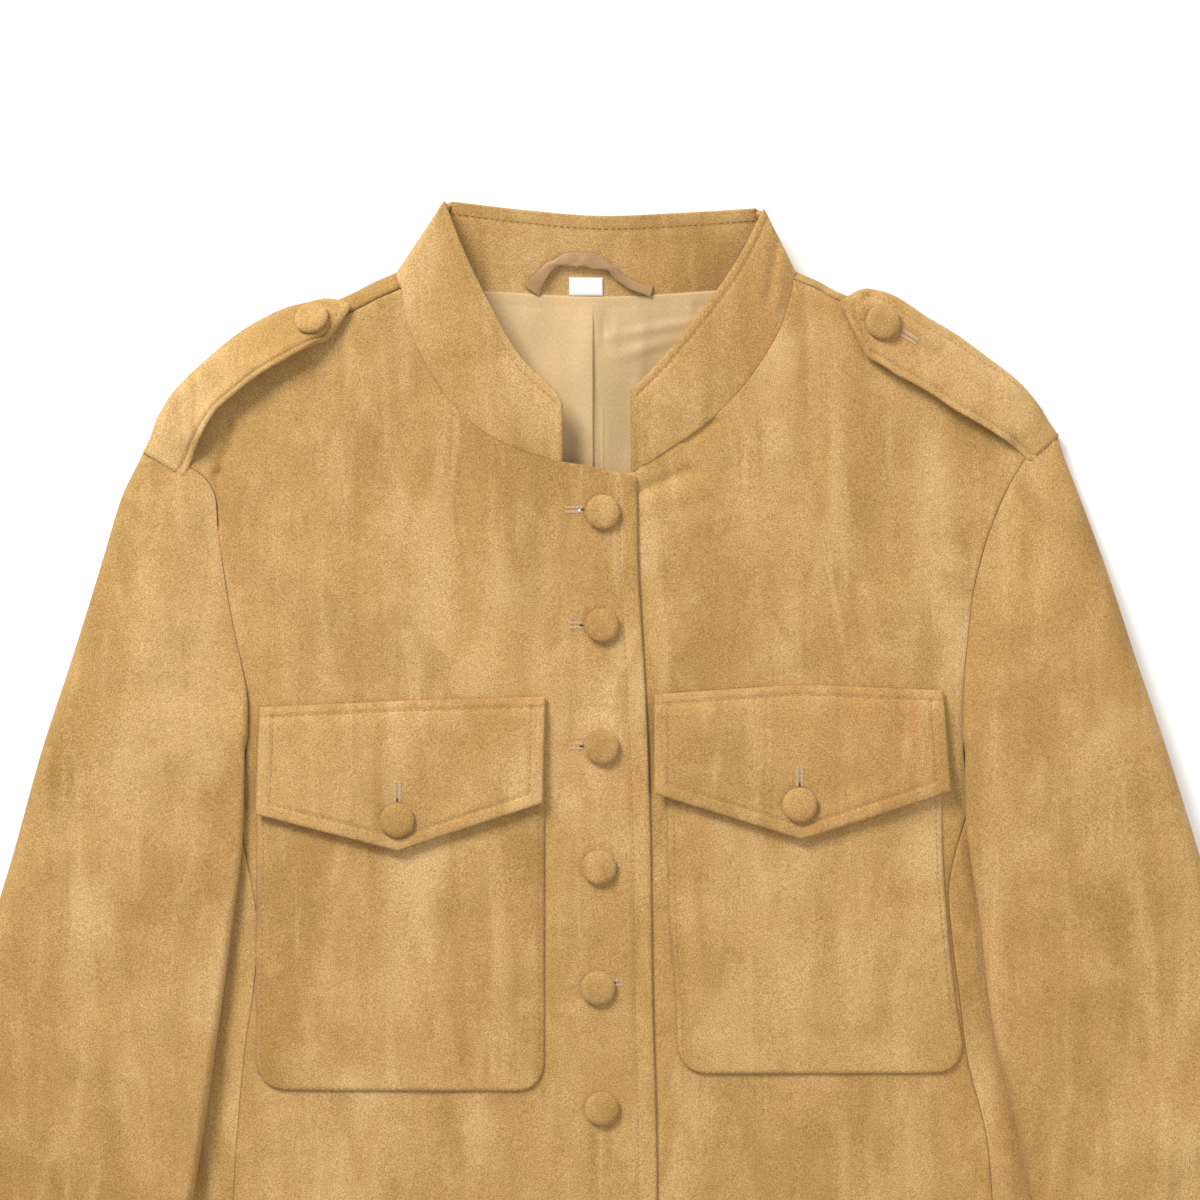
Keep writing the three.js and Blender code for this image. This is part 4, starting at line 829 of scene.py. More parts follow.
class JACKET_OT_fronts(bpy.types.Operator):
    """Both fronts and their side panels"""
    bl_idname = "jacket.fronts"
    bl_label = "Fronts"

    def execute(self, context):
        for side in SIDES:
            outer, inner, seam = LINES[side]
            outer_line = read_rows(FRONT_ROWS, outer)
            inner_line = read_rows(FRONT_ROWS, inner)
            seam_line = read_rows(np.linspace(0, 1, len(seam)), seam)
            low_outer, low_inner = outer[-1], inner[-1]
            shape = patch(seam_line, lambda u: between(low_outer, low_inner, u), outer_line, inner_line)
            reach = 190.0

            def surface(u, v, side=side, shape=shape):
                flat = shape(u, v)
                x, y = flat[..., 0], flat[..., 1]
                z = front_top(x, y, side)
                z = z + edge_dip(u * reach, 3.0, 0.55) * ease(0.03, 0.14, v)
                z = z + edge_dip(v * FRONT_RUN, 3.0, 0.5) + edge_dip((1 - v) * FRONT_RUN, 2.4, 0.5)
                below = ease(0.3, 0.32, v) if side == "left" else 1.0
                to_edge = (1 - u) * reach
                z = z + edge_dip(to_edge, 2.6, mix(0.4, 0.6, ease(0.24, 0.3, v)))
                if side == "left":
                    z = z + stitch_groove(to_edge, 8.0, 0.6, 0.9) * below
                return np.stack([x, y, z], -1)

            columns = stops(reach, panel_step(), 5.0, 12.0, 0.9)
            piece = cloth(f"front_{side}_suede", columns, clamp(FRONT_ROWS, 0.0008, 1.0), surface, SUEDE,
                          suede(f"suede_front_{side}", 24 if side == "left" else 22))
            dress(piece, [f"front_{side}"])
            if side == "left":
                v = np.linspace(0.302, 1.0, 400)
                line = surface(np.full_like(v, 1 - 8.0 / reach), v)
                stitch_line("stitches_front", line + ABOVE)

            u = np.linspace(0.012, 0.985, 160)
            hem = surface(u, np.full_like(u, 1 - HEM_LINE["front"]))
            stitch_line("stitches_hem", hem + ABOVE, pitch=3.2)

            turn = SIGN[side]
            rows = FRONT_ROWS[FRONT_ROWS >= 0.5 - 1e-9]
            start = outer[np.argmin(np.abs(FRONT_ROWS - 0.5))]

            def fold_line(w, turn=turn):
                y = mix(UNDERARM_Y, HEM_Y, np.asarray(w, float))
                return np.stack([turn * body_half(y), y], -1)

            top_curve = Curve([fold_line(0.0), (turn * 195, -110), (start[0], -94)])
            panel = patch(lambda u: between(top_curve(u), start, np.asarray(u) ** 8),
                          lambda u: between(fold_line(1.0), low_outer, u), fold_line,
                          lambda w: outer_line(0.5 + np.asarray(w) / 2))

            def side_surface(u, v, fold_line=fold_line, panel=panel, outer_line=outer_line):
                w = (v - 0.5) * 2
                width = np.linalg.norm(fold_line(w) - outer_line(v), axis=-1)
                flat = panel(across(u, width, BODY_FOLD, 0) / width, w)
                x, y = flat[..., 0], flat[..., 1]
                z = body_top(x, y) + edge_dip((1 - u) * width, 3.0, 0.55)
                z = z + edge_dip((1 - v) * FRONT_RUN, 2.4, 0.5)
                return np.stack([x, y, z], -1)

            columns = spaced((0.018, 0.2, 9), (0.2, 0.86, 12), (0.86, 1.0, 8))
            piece = cloth(f"side_{side}_suede", columns, clamp(rows, 0.506, 1.0), side_surface, SUEDE,
                          suede(f"suede_side_{side}", 31 if side == "left" else 32), probe=(0.7, 0.75))
            dress(piece, [f"side_{side}"])
            u = np.linspace(0.3, 0.98, 40)
            hem = side_surface(u, np.full_like(u, 1 - HEM_LINE["side"]))
            stitch_line("stitches_hem", hem + ABOVE, pitch=3.2)
        return {"FINISHED"}


class JACKET_OT_sleeves(bpy.types.Operator):
    """Both sleeves, each an upper and an under piece"""
    bl_idname = "jacket.sleeves"
    bl_label = "Sleeves"

    def execute(self, context):
        for side in SIDES:
            outer, inner = SLEEVES[side]["outer"], SLEEVES[side]["inner"]
            turn = SIGN[side]
            pole = outer(0.0) + np.array([turn * 0.4, 0.6])
            end_row = int(np.argmin(np.abs(FRONT_ROWS - 0.45)))
            armhole = LINES[side][0][: end_row + 1]
            steps_run = np.linalg.norm(np.diff(armhole, axis=0), axis=1)
            passed = 8 + np.concatenate([[0], np.cumsum(steps_run)])
            total = passed[-1]
            rows = [(0.0, pole, pole, -1000.0)]
            for k, point in enumerate(armhole):
                run, past = CROWN[side] * passed[k] / total, passed[k] - total
                lap = (1.25 * ease(-62, -20, past) - 0.05) * ease(0, -9, past)
                away = point - np.array([turn * lap, 0.0])
                rows.append((run, outer(run / outer.length), away, past))
            for share in np.linspace(0, 1, 131)[1:]:
                run = mix(CROWN[side], outer.length, share)
                rows.append((run, outer(run / outer.length), inner(share), share * inner.length))
            places = np.linspace(0, 1, len(rows))
            read = [read_rows(places, column) for column in zip(*rows)]

            def surface(u, v, read=read, side=side):
                a, b = read[1](v), read[2](v)
                width = np.linalg.norm(b - a, axis=-1)
                radius = np.minimum(SLEEVE_FOLD, 0.45 * width)
                tuck = np.minimum(SLEEVE_TUCK, 0.2 * width)
                distance = across(u, width, radius, tuck)
                share = distance / np.maximum(width, 1e-6)
                flat = between(a, b, share)
                x, y = flat[..., 0], flat[..., 1]
                run, past = read[0](v), read[3](v)
                high, half = crest(run), inner_half(np.maximum(past, 0))
                bx, by = b[..., 0], b[..., 1]
                base = body_support(bx, by)
                body = loft(bx) * (0.5 + 0.5 * body_share(bx, by)) + folds(bx, by, BODY_FOLDS)
                seam = body + LIFT_LIMIT * ease(-62, -4, past)
                clear = mix(body + LIFT_LIMIT, base + 2 * half, ease(0, 12, past))
                inner_top = np.where(past < 0, seam, clear)
                middle = mix(inner_top, high, ease(0, 0.55 * np.maximum(width, 1), width - distance))
                drop = (1 - rounded(distance / np.maximum(radius, 1e-6))) * high / 2
                tucked = 1 - rounded((width - distance) / np.maximum(tuck, 1e-6))
                drop = drop + tucked * half * ease(-30, 0, past)
                relief = sleeve_folds(side, run, share) + 0.3 * noise(x, y, 30, 7) + 0.12 * noise(x, y, 12, 8)
                relief = relief * ease(0.0, 0.12, share) * ease(1.0, 0.9, share) * ease(0, 30, run)
                sink = (0.6 + 1.55 * ease(-62, -20, past)) * ease(14, 50, run)
                roll = np.where(past < 0, edge_dip(width - distance, 3.6, 1.0) * sink, 0)
                cuff = edge_dip((1 - v) * CUFF_RUN, 2.6, 0.6)
                return np.stack([x, y, middle - drop + relief + roll + cuff], -1)

            columns = spaced((0.006, 0.2, 12), (0.2, 0.8, 34), (0.8, 0.994, 12))
            top = cloth(f"sleeve_{side}_top_suede", columns, places, surface, SUEDE,
                        suede(f"suede_sleeve_{side}", 41 if side == "left" else 42, turn * 0.32),
                        probe=(0.5, 0.7))
            dress(top, [f"sleeve_{side}_top"])
            lower = outer.length - CROWN[side]
            u = np.linspace(0.14, 0.9, 80)
            cuff = surface(u, np.full_like(u, 1 - HEM_TURN / lower * 130 / (len(rows) - 1)))
            stitch_line("stitches_cuffs", cuff + ABOVE, pitch=3.2)
            self.under(side, outer, inner)
        return {"FINISHED"}

    def under(self, side, outer, inner):
        turn = SIGN[side]
        arm_rows = 24
        arm = back_arm(side)
        rows = []
        for share in np.linspace(0, 1, arm_rows + 1):
            run = mix(UNDER_START, BACK_CROWN, share)
            aside = np.array([turn * 0.7, -0.6 if share == 0 else 0])
            rows.append((run, outer(run / outer.length), arm(share) + aside))
        underarm = rows[-1][2]
        middle = Curve([underarm, *((turn * x, y) for x, y in UNDER_SEAM)])
        for share in np.linspace(0, 1, 91)[1:]:
            run = mix(BACK_CROWN, outer.length, share)
            rows.append((run, outer(run / outer.length), middle(share)))
        places = np.linspace(0, 1, len(rows))
        read = [read_rows(places, column) for column in zip(*rows)]
        start = arm_rows / (len(rows) - 1)
        skip, split = 0.05, 0.6
        inner_line = lambda w: inner(mix(skip, 1, np.asarray(w, float)))
        seam = Curve([underarm, (turn * 196, -111), (turn * 180, -101), inner(skip)])
        cuff = middle(1.0)
        part_patch = patch(seam, lambda u: between(cuff, inner(1.0), u), middle, inner_line)

        def surface(u, v):
            run = read[0](v)
            high = crest(run)
            a, b = read[1](v), read[2](v)
            width = np.linalg.norm(b - a, axis=-1)
            radius = np.minimum(SLEEVE_FOLD, 0.45 * width)
            share = clamp(u / split)
            exact = np.where(share < 0.25, across(share * 0.8, width, radius, 0),
                             mix(radius, width, (share - 0.25) / 0.75))
            flat = between(a, b, clamp(exact / np.maximum(width, 1e-6)))
            lift = (1 - rounded(exact / np.maximum(radius, 1e-6))) * high / 2
            inside = (u > split) & (v >= start - 1e-9)
            w = clamp((v - start) / (1 - start))
            part = clamp((u - split) / (1 - split))
            span = np.linalg.norm(inner_line(w) - middle(w), axis=-1)
            tuck = np.minimum(SLEEVE_TUCK, 0.2 * span)
            distance = across(part, span, 0, tuck)
            flat2 = part_patch(distance / span, w)
            lift2 = (1 - rounded((span - distance) / tuck)) * inner_half(mix(skip, 1, w) * inner.length)
            flat = np.where(inside[..., None], flat2, flat)
            lift = np.where(inside, lift2, lift)
            x, y = flat[..., 0], flat[..., 1]
            rising = ease(start - 0.035, start, v) * 0.45 * ease(split - 0.12, split, u)
            below = np.where(v < start - 1e-9, rising, 1.0)
            return np.stack([x, y, body_support(x, y) * below + lift], -1)

        columns = spaced((0.004, 0.15, 9), (0.15, split, 22), (split, 0.92, 10), (0.92, 0.996, 7))
        at = int(np.argmin(np.abs(columns - split)))
        piece = cloth(f"sleeve_{side}_under_suede", columns, places, surface, SUEDE,
                      suede(f"suede_under_{side}", 51 if side == "left" else 52, turn * 0.32), up=False,
                      probe=(0.35, 0.8), kept=lambda i, j: i < at or j >= arm_rows)
        dress(piece, [f"sleeve_{side}_under"])


BACK_ARMHOLE = {
    "left": Curve([(-207, 67.5), (-196, 42), (-189, 10), (-187, -30), (-192, -70), (-203, -98),
                   (-215, -116)]),
    "right": Curve([(207, 71.5), (195, 42), (188, 10), (186, -30), (191, -70), (203, -98), (215, -116)]),
}
BACK_NECK = Curve([(-93.6, 148.5), (-54, 146.8), (0, 144.2), (52, 146.8), (89.6, 149)])
COLLAR_TOP = {
    "left": Curve([(-73.6, 189.1), (-64.5, 166), (-53.2, 142.5), (-37.5, 115.4), (-20.9, 98.8),
                   (-17.6, 92.6)]),
    "right": Curve([(77.4, 185.3), (66, 163), (53.2, 143.9), (41.3, 128.7), (27, 112), (14.3, 98.8)]),
}
BACK_STITCHES = 6.6
COLLAR_BACK_TOP = Curve([(-70.4, 189.6), (-36, 185.6), (0, 182.8), (38, 184.2), (74, 186.4)])
COLLAR_LIFT = {"front": 4.5, "back": 8.5}


def back_arm(side):
    """The back's armhole, from its shoulder to the underarm."""
    places = np.linspace(0, 1, 9)
    points = BACK_ARMHOLE[side](places)
    points[0] = inside_fold(side, 0.0, BODY_FOLD)
    points[-1] = (SIGN[side] * body_half(UNDERARM_Y), UNDERARM_Y)
    return read_rows(places, points)


def back_neck(count):
    """Points along the back neck, with its ends on the shoulder seams."""
    neck = BACK_NECK(np.linspace(0, 1, count))
    neck[0] = inside_fold("left", 1.0, BODY_FOLD)
    neck[-1] = inside_fold("right", 1.0, BODY_FOLD)
    return neck


def collar_inside(x, y):
    share = clamp(table([(-74, 0), (0, 0.5), (74, 1)])(x))
    low, high = BACK_NECK(share)[..., 1], COLLAR_BACK_TOP(share)[..., 1]
    return mix(0.05, COLLAR_LIFT["back"], clamp((y - low) / (high - low))) + DOUBLED * 1.03


class JACKET_OT_collar(bpy.types.Operator):
    """Band collar, folded where it turns to the back of the neck"""
    bl_idname = "jacket.collar"
    bl_label = "Collar"

    def execute(self, context):
        per_side, per_back, per_turn = 48, 60, 16
        seam_points, top_points = [], []

        def front(side, share):
            inner = LINES[side][1]
            rows = FRONT_ROWS <= 0.24 + 1e-9
            seam = read_rows(FRONT_ROWS[rows] / 0.24, inner[rows])(share)
            top = COLLAR_TOP[side](share)
            low = loft(seam[0]) * (0.5 + 0.5 * body_share(seam[0], seam[1]))
            low = float(low) + (OVERLAP_RISE * float(ease(-90, -28, seam[0])) if side == "left" else 0) + 0.55
            return np.array([*seam, low]), np.array([*top, float(loft(0.0)) + 0.8 + COLLAR_LIFT["front"]])

        def nudge(seam, top, gap):
            part = gap / np.linalg.norm(top - seam)
            seam_points.append(seam + (top - seam) * part)
            top_points.append(top)

        def turned(side, share):
            seam, top = front(side, 0.0)
            index = 0.0 if side == "left" else 1.0
            back_seam = inside_fold(side, 1.0, BODY_FOLD)
            back_top = COLLAR_BACK_TOP(index)
            angle = math.pi * share
            out, up = math.sin(angle), (1 + math.cos(angle)) / 2
            result = []
            for here, tip, low, z in ((seam, SHOULDER_FOLD[side](1.0), back_seam, 0.05),
                                      (top, COLLAR_TOP[side](0.0), back_top, COLLAR_LIFT["back"])):
                level = (low + here[:2]) / 2
                flat = mix(low, here[:2], up) + (tip - level) * out
                result.append(np.array([*flat, mix(z, here[2], up)]))
            # The folded corner is rounded off at its top.
            result[1] = mix(result[1], result[0], 0.035 * out)
            return result

        for share in np.linspace(1, 0, per_side + 1):
            nudge(*front("left", share), -0.9)
        for share in np.linspace(0, 1, per_turn + 1)[1:-1]:
            nudge(*turned("left", share), -1.2)
        neck = back_neck(per_back + 1)
        for k, share in enumerate(np.linspace(0, 1, per_back + 1)):
            nudge(np.array([*neck[k], 0.05]), np.array([*COLLAR_BACK_TOP(share), COLLAR_LIFT["back"]]), -0.4)
        for share in np.linspace(1, 0, per_turn + 1)[1:-1]:
            nudge(*turned("right", share), -1.2)
        for share in np.linspace(0, 1, per_side + 1):
            nudge(*front("right", share), -0.9)
        seam, top = np.array(seam_points), np.array(top_points)
        places = np.linspace(0, 1, len(seam))
        seam_read, top_read = read_rows(places, seam), read_rows(places, top)
        step = np.linalg.norm(np.diff((seam + top) / 2, axis=0), axis=1)
        run = read_rows(places, np.concatenate([[0], np.cumsum(step)]))
        length = float(step.sum())
        end_share = (per_side + per_turn) / (len(seam) - 1)

        def surface(u, v, lift=0.0):
            a, b = seam_read(u), top_read(u)
            point = between(a, b, v)
            wide = np.linalg.norm(b - a, axis=-1)
            along = run(u)
            to_end = np.minimum(along, length - along)
            in_front = ease(end_share * 0.96, end_share * 0.72, np.minimum(u, 1 - u))
            relief = edge_dip((1 - v) * wide, 2.4, 0.7) + edge_dip(v * wide, 2.6, 0.35)
            groove = stitch_groove((1 - v) * wide, COLLAR_STITCHES, 0.7, 0.9)
            relief = relief + groove * ease(4.0, 6.0, to_end)
            end_groove = stitch_groove(to_end, COLLAR_STITCHES, 0.7, 0.9) * ease(4.5, 6, (1 - v) * wide)
            relief = relief + edge_dip(to_end, 2.4, 0.7) + end_groove
            x, y = point[..., 0], point[..., 1]
            relief = relief + in_front * (1.1 * np.sin(math.pi * clamp(v)) + 0.35 * noise(x, y, 22, 9))
            # A soft crease runs up the right band near its fold.
            relief = relief + folds(x, y, COLLAR_FOLDS)
            behind = stitch_groove((1 - v) * wide, BACK_STITCHES, 0.3, 1.3) * (1 - in_front)
            behind = behind * ease(0.2, 0.24, np.minimum(u, 1 - u))
            rise = relief * in_front + behind + lift
            return point + np.stack([np.zeros_like(rise), np.zeros_like(rise), rise], -1)

        rows = stops(44.0, 1.6, 3.0, 7.0, 0.8)
        piece = cloth("collar_suede", places, rows, surface, DOUBLED, suede("suede_collar", 61),
                      probe=(0.12, 0.5))
        wide = np.linalg.norm(top - seam, axis=1)
        inset, last = COLLAR_STITCHES, len(seam) - 1
        line_v = 1 - inset / wide
        ends = ((slice(0, per_side - 1), run(places), inset),
                (slice(last - per_side + 3, last + 1), length - run(places), length - inset))
        for stretch, from_end, end in ends:
            keep = from_end[stretch] > inset
            stitch_line("stitches_collar", surface(places[stretch][keep], line_v[stretch][keep], 0.12))
            end_u = float(np.interp(end, run(places), places))
            v = np.linspace(0.04, 1 - inset / 28.0, 20)
            stitch_line("stitches_collar", surface(np.full_like(v, end_u), v, 0.12))
        # On the back the inside of the band shows, so its stitches lie on that face.
        back = slice(per_side + per_turn - 1, per_side + per_turn + per_back)
        inside = seam[back] + (top[back] - seam[back]) * (1 - BACK_STITCHES / wide[back])[:, None]
        stitch_line("stitches_collar", inside + np.array([0, 0.4, DOUBLED * 1.02 + 0.15]))
        dress(piece, ["collar"])
        return {"FINISHED"}


LABEL_LEFT, LABEL_RIGHT, LABEL_TOP, LABEL_LOW = -14.7, 1.4, 153.6, 144.9
LABEL_FLAT = (0.0117, 0.0164)
LINING_LOW = {"left": np.array([-74.0, 22.0]), "right": np.array([72.0, 22.0])}
# Wrinkles of the lining: height, slope, start of the slope, level, half width, centre and reach across
LINING_WRINKLES = (
    (0.9, -0.18, 30, 130, 2.6, 28, 22), (0.8, -0.3, 25, 121, 3.0, 22, 16), (0.8, 0.12, 40, 112, 3.4, 44, 14),
    (1.1, 0.5, -60, 135, 2.6, -62, 14), (0.9, 0.9, -66, 122, 3.2, -64, 10),
)


class JACKET_OT_neck(bpy.types.Operator):
    """Neck lining with its pleat, the bare label and the hanging loop"""
    bl_idname = "jacket.neck"
    bl_label = "Neck lining, label and loop"

    def execute(self, context):
        lining = satin("satin_lining", 1.0, bpy.context.scene.jacket_colours.satin)
        neck = back_neck(11)
        top = np.column_stack([neck[:, 0] * 0.99, neck[:, 1] + 0.5])
        top_line = read_rows(np.linspace(0, 1, 11), top)
        low = LINING_LOW
        shape = patch(top_line, lambda u: between(low["left"], low["right"], u),
                      lambda v: between(top[0], low["left"], v), lambda v: between(top[-1], low["right"], v))

        def surface(u, v):
            flat = shape(u, v)
            x, y = flat[..., 0], flat[..., 1]
            z = SUEDE + SEAM_GAP + SATIN
            down = ease(0.0, 0.1, v)
            pleat = 1.9 * ease(-16.0, -3.9, x) * ease(-3.0, -3.5, x) * ease(146, 116, y)
            under = -1.4 * bump(x, 2.2, 2.4) * bump(y, 131, 8)
            under = under + (0.4 * bump(x, 1.2, 0.8) + 0.4 * bump(x, 3.8, 0.8)) * ease(98, 80, y)
            under = under + 0.7 * bump(x, 7.5, 2.2) * bump(y, 127, 6)
            wrinkles = 0
            for high, slope, start, level, wide, centre, reach in LINING_WRINKLES:
                wrinkle = high * bump(y + slope * (x - start), level, wide)
                wrinkles = wrinkles + wrinkle * bump(x, centre, reach)
            wrinkles = wrinkles + 0.6 * bump(x + 0.12 * y, -18, 3.0) + 0.5 * bump(x - 0.1 * y, 8, 3.2)
            wrinkles = wrinkles + 0.5 * bump(x + 0.05 * y, 1.5, 1.6) * ease(110, 90, y)
            wrinkles = wrinkles + 0.35 * noise(x, y, 15, 6)
            # Small puckers hang from the neck seam.
            pucker = 0.6 * noise(x, 0 * y, 3.6, 8) * bump(y, 142, 6) - 0.35 * bump(y, 140.5, 1.2)
            return np.stack([x, y, z + (pleat + under + pucker + wrinkles) * down + 0.4], -1)

        columns = np.unique(np.concatenate([stops(168.0, 1.2), np.linspace(0.44, 0.52, 40)]).round(6))
        piece = cloth("lining_back_satin", columns, np.linspace(0, 1, 100), surface, SATIN, lining)
        dress(piece, ["lining_back"])

        white = plain_cloth("label_cloth", bpy.context.scene.jacket_colours.label, 0.7)

        def label(u, v):
            x, y = mix(LABEL_LEFT, LABEL_RIGHT, u), mix(LABEL_TOP, LABEL_LOW, v)
            edge = np.minimum(np.minimum(u, 1 - u) * 16, np.minimum(v, 1 - v) * 8.7)
            return np.stack([x, y, collar_inside(x, y) + SEAM_GAP + 0.5 + edge_dip(edge, 1.0, 0.25)], -1)

        piece = cloth("label_white", np.linspace(0, 1, 25), np.linspace(0, 1, 13), label, 0.5, white)
        # The label is cut with an edge turned in along its top and its foot.
        piece["flat"] = LABEL_FLAT
        dress(piece, ["label"])

        path = Curve([(-32.8, 147.2), (-28.5, 153.5), (-23.8, 158.8), (-17, 161.6), (-4.3, 161.5),
                      (4.5, 158), (10.9, 152.5), (17, 149.2), (24.7, 147)])
        rings, around = 160, 28
        share, angle = np.meshgrid(np.linspace(0, 1, rings + 1), np.linspace(0, 2 * math.pi, around + 1))
        spot = path(share)
        along = path(clamp(share + 0.01)) - path(clamp(share - 0.01))
        along = along / np.linalg.norm(along, axis=-1)[..., None]
        # The satin strip lies nearly flat and is pinched where it turns its corners.
        pinch = bump(share, 0.26, 0.04) + bump(share, 0.66, 0.05)
        widths = table([(0.0, 4.0), (0.2, 2.2), (0.4, 3.5), (0.6, 3.3), (0.8, 1.9), (1.0, 2.8)])
        wide = mix(widths(share), 1.7, pinch)
        high = mix(0.62, 1.05, pinch)
        crease = np.sin(share * 46 + 2.0) * bump(share, 0.45, 0.12)
        ridge = 1 + 0.12 * np.sin(4 * angle + 9 * share) * np.sin(share * 31 + 1)
        x = spot[..., 0] - along[..., 1] * wide * np.cos(angle) * ridge
        y = spot[..., 1] + along[..., 0] * wide * np.cos(angle) * ridge
        rise = 1.1 * ease(0, 0.12, share) * ease(1, 0.88, share)
        z = collar_inside(spot[..., 0], spot[..., 1]) + 0.55 + rise + high * (1 + np.sin(angle))
        z = z + 0.45 * crease * np.maximum(0.0, np.sin(angle)) * np.cos(angle + 0.8)
        points = place(np.stack([x, y, z], -1))
        # The last row closes the tube on the first.
        points[-1] = points[0]
        bm = grid_mesh(points)
        bmesh.ops.remove_doubles(bm, verts=bm.verts, dist=1e-6)
        ends = [edge for edge in bm.edges if edge.is_boundary]
        bmesh.ops.holes_fill(bm, edges=ends, sides=0)
        bmesh.ops.recalc_face_normals(bm, faces=bm.faces)
        dark = satin("satin_loop", 4.0, bpy.context.scene.jacket_colours.loop)
        loop = mesh_object("hanger_loop_satin", bm, dark)
        dress(loop, ["hanger_loop"])
        return {"FINISHED"}


POCKETS = {
    "left": {"left": Curve([(-162.6, -63), (-163, -104), (-163.4, -150), (-163.4, -218)]),
             "right": Curve([(-26.1, -63), (-26.1, -104), (-26.1, -218.8)]), "low": -232.8},
    "right": {"left": Curve([(30, -62), (31.8, -104.5), (33.3, -156.8), (36.1, -191.9), (36.6, -211)]),
              "right": Curve([(162.4, -61), (162.6, -94), (163.1, -124), (164.6, -146), (165.8, -160),
                              (169.5, -191.9), (172.6, -211)]), "low": -224.7},
}
FLAPS = {
    "left": {"tl": (-161.5, -50.8), "tm": (-93.6, -47.6), "tr": (-25.7, -45.6), "br": (-27.1, -96),
             "tip": (-95.5, -118.8), "bl": (-163.4, -101.7)},
    "right": {"tl": (25.7, -44.7), "tm": (95.5, -39.9), "tr": (162.9, -42.8), "br": (166.7, -90.7),
              "tip": (95.5, -113.5), "bl": (25.7, -91.7)},
}
POCKET_DEPTH, POCKET_FULL, POCKET_GAP, CORNER = 1.5, 1.2, SEAM_GAP + 0.2, 14.0
# Width of a flap, its height at the sides and at the point
FLAP_SIZES = {"left": (136.0, 51.0, 71.0), "right": (137.0, 47.0, 73.0)}
FLAP_BUTTONS = {"left": (-95.9, -104.2), "right": (94.5, -96.9)}
POCKET_SIZE = (137.0, 168.0)


def flap_shape(side):
    f = {name: np.array(point, float) for name, point in FLAPS[side].items()}

    def edge(a, middle, b):
        return table([(0.0, a), (0.5, middle), (1.0, b)])

    return patch(edge(f["tl"], f["tm"], f["tr"]), edge(f["bl"], f["tip"], f["br"]),
                 lambda v: between(f["tl"], f["bl"], v), lambda v: between(f["tr"], f["br"], v))


def flap_surface(side):
    shape = flap_shape(side)
    sizes = FLAP_SIZES[side]

    def read(u, v, relief=True):
        flat = shape(u, v)
        x, y = flat[..., 0], flat[..., 1]
        z = front_top(x, y, side) + POCKET_GAP + (POCKET_DEPTH + SEAM_GAP + 0.2) * ease(0, 0.2, v)
        z = z + POCKET_FULL * np.sin(math.pi * clamp(u)) * ease(0.15, 0.6, v) + 1.2 * v * v + DOUBLED
        if relief:
            z = z + 1.3 * ease(0.72, 1.0, v) * (0.8 + 0.35 * noise(x, y, 30, 19))
            tall = mix(sizes[1], sizes[2], 1 - np.abs(2 * u - 1))
            to_side = np.minimum(u, 1 - u) * sizes[0]
            to_low, to_top = (1 - v) * tall, v * tall
            z = z + edge_dip(np.minimum(to_side, np.minimum(to_low, to_top)), 2.6, 0.9)
            at_side = stitch_groove(to_side, FLAP_STITCHES, 0.7, 0.9)
            z = z + at_side * ease(5.5, 6.6, to_low) * ease(3.8, 4.8, to_top)
            z = z + stitch_groove(to_low, FLAP_STITCHES, 0.7, 0.9) * ease(5.5, 6.6, to_side)
            z = z + stitch_groove(to_top, FLAP_TOP_STITCHES, 0.7, 0.9)
            to_button = np.hypot(x - FLAP_BUTTONS[side][0], y - FLAP_BUTTONS[side][1])
            z = z + 0.3 * noise(x, y, 18, 12) - 0.5 * bump(to_button, 0, 13)
        return np.stack([x, y, z], -1)

    return read, sizes


